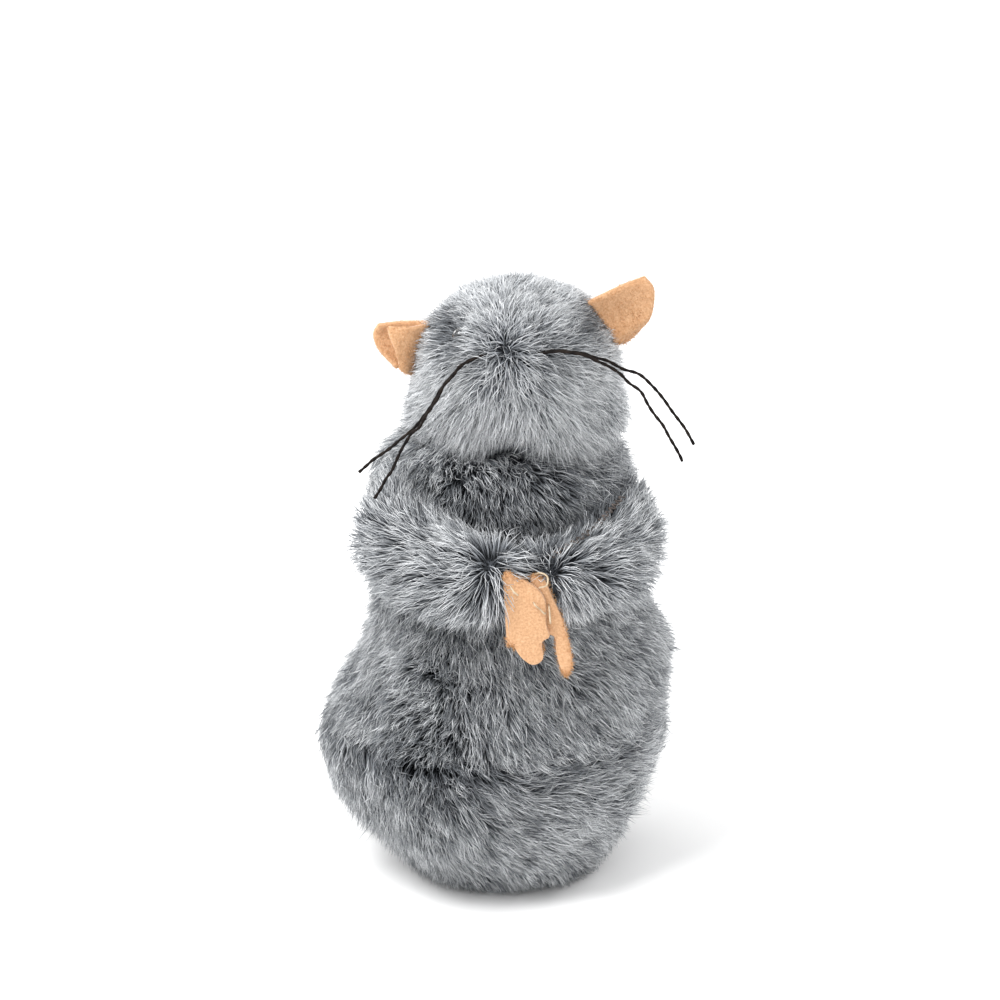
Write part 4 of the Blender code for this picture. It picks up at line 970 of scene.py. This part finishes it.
# ---- whiskers --------------------------------------------------------------------
WHISKER_D = 0.65            # over both plies
PLY_PITCH = 2.0             # along the thread, for half a turn of the twist
WHISKER_ROUTES = {
    "whisker_right_upper": [(-4.0, -17.3, 110.3), (-4.9, -18.0, 110.1), (-8.1, -18.8, 108.6),
                            (-10.8, -19.2, 105.7), (-12.4, -19.3, 102.8), (-14.4, -19.0, 99.3),
                            (-16.3, -18.6, 96.8), (-18.4, -18.0, 94.6), (-21.5, -16.8, 91.5),
                            (-24.7, -15.6, 88.9), (-27.2, -14.6, 85.9)],
    "whisker_right_lower": [(-3.8, -18.5, 110.5), (-4.9, -19.2, 110.4), (-8.1, -20.0, 108.9),
                            (-10.8, -20.4, 105.9), (-12.4, -20.5, 103.0), (-14.4, -20.3, 99.5),
                            (-16.1, -20.0, 96.8), (-17.6, -19.6, 95.0), (-19.6, -18.8, 90.8),
                            (-21.9, -17.6, 86.1), (-24.3, -16.4, 81.5)],
    "whisker_left_upper": [(5.9, -17.4, 110.7), (7.4, -18.0, 111.1), (10.9, -18.6, 111.4),
                           (14.8, -18.8, 110.9), (18.1, -18.6, 109.5), (21.2, -18.0, 108.0),
                           (25.2, -17.0, 105.7), (28.3, -16.0, 102.3), (30.7, -15.0, 98.5),
                           (33.4, -14.0, 94.6), (35.3, -13.4, 91.0)],
    "whisker_left_lower": [(5.9, -18.6, 111.0), (7.4, -19.2, 111.3), (10.9, -19.8, 111.6),
                           (14.8, -20.0, 110.9), (18.1, -19.9, 109.3), (21.2, -19.5, 107.1),
                           (25.2, -18.6, 102.9), (27.2, -17.8, 99.2), (29.5, -17.0, 95.4),
                           (31.5, -16.2, 91.6), (32.9, -15.6, 88.5)],
}


def make_whiskers(mats):
    """Two-ply waxed thread, stiff enough to stand, cut square at the end."""
    turn = np.arange(14) / 14 * TAU
    for number, (name, route) in enumerate(WHISKER_ROUTES.items()):
        path = smooth_route(route, 2)
        line = polyline(path, 240)
        run = np.linspace(0, 1, len(line))[:, None]
        kink = np.stack([wave(line, 7, 90 + number), wave(line, 6, 94 + number),
                         wave(line, 5, 98 + number)], axis=1)
        line = line + 0.16 * kink * np.minimum(run * 6, 1)
        spans = np.linalg.norm(np.diff(line, axis=0), axis=1)
        lay = np.concatenate([[0], np.cumsum(spans)]) * math.pi / PLY_PITCH

        def section(i):
            radius = WHISKER_D / 2 * (0.86 + 0.14 * np.cos(2 * (turn - lay[i])))
            return np.stack([radius * np.cos(turn), radius * np.sin(turn)], axis=1)
        verts, faces = tube(line, section)
        thread = add_mesh(name + "_thread", verts, faces, mats["waxed_thread"])
        finish_piece(thread, "waxed_thread", name)


# ---- motor, base and key keep their CAD shapes --------------------------------------
def paint_nodes(mats):
    slots = {}
    for part in frame["record"]["subparts"]:
        slots[part["node"]] = part["material_slot"]
    for name, node in frame["nodes"].items():
        node.data.materials.clear()
        node.data.materials.append(mats[slots[name]])


# ---- room --------------------------------------------------------------------------
def area_light(name, place, size, power, aim=(0.0, 0.0, 0.06)):
    data = bpy.data.lights.new(name, "AREA")
    data.energy, data.size = power, size
    light = bpy.data.objects.new(name, data)
    light.location = place
    light.rotation_euler = (Vector(aim) - Vector(place)).to_track_quat("-Z", "Y").to_euler()
    bpy.context.scene.collection.objects.link(light)


def make_room():
    scene = bpy.context.scene
    scene.view_settings.view_transform = "Standard"
    world = bpy.data.worlds.new("room")
    world.use_nodes = True
    world.node_tree.nodes["Background"].inputs["Color"].default_value = (1.0, 1.0, 1.0, 1.0)
    world.node_tree.nodes["Background"].inputs["Strength"].default_value = 1.0
    scene.world = world
    area_light("key", (-0.55, -0.55, 1.2), 0.5, 15.0)
    area_light("rim_left", (-0.8, 0.55, 0.5), 0.5, 4.0)
    area_light("rim_right", (0.8, 0.55, 0.5), 0.5, 4.0)
    paint = Paint("floor", 0.9)
    paint.colour(paint.noise(3, 2), (0.3, (0.93, 0.93, 0.93)), (0.7, (0.95, 0.95, 0.95)))
    half = 4000.0
    floor = add_mesh("floor", [(-half, -half, 0), (half, -half, 0), (half, half, 0), (-half, half, 0)],
                     [(0, 1, 2, 3)], paint.mat, smooth=False)


make_camera()
materials = make_materials()
make_whiskers(materials)
paint_nodes(materials)
make_body(materials)
make_head(materials)
make_eyes(materials)
make_arms(materials)
make_stuffing(materials)
make_stitches(materials)
make_sleeve_seam(materials)
make_ears(materials)
make_paws(materials)
make_room()
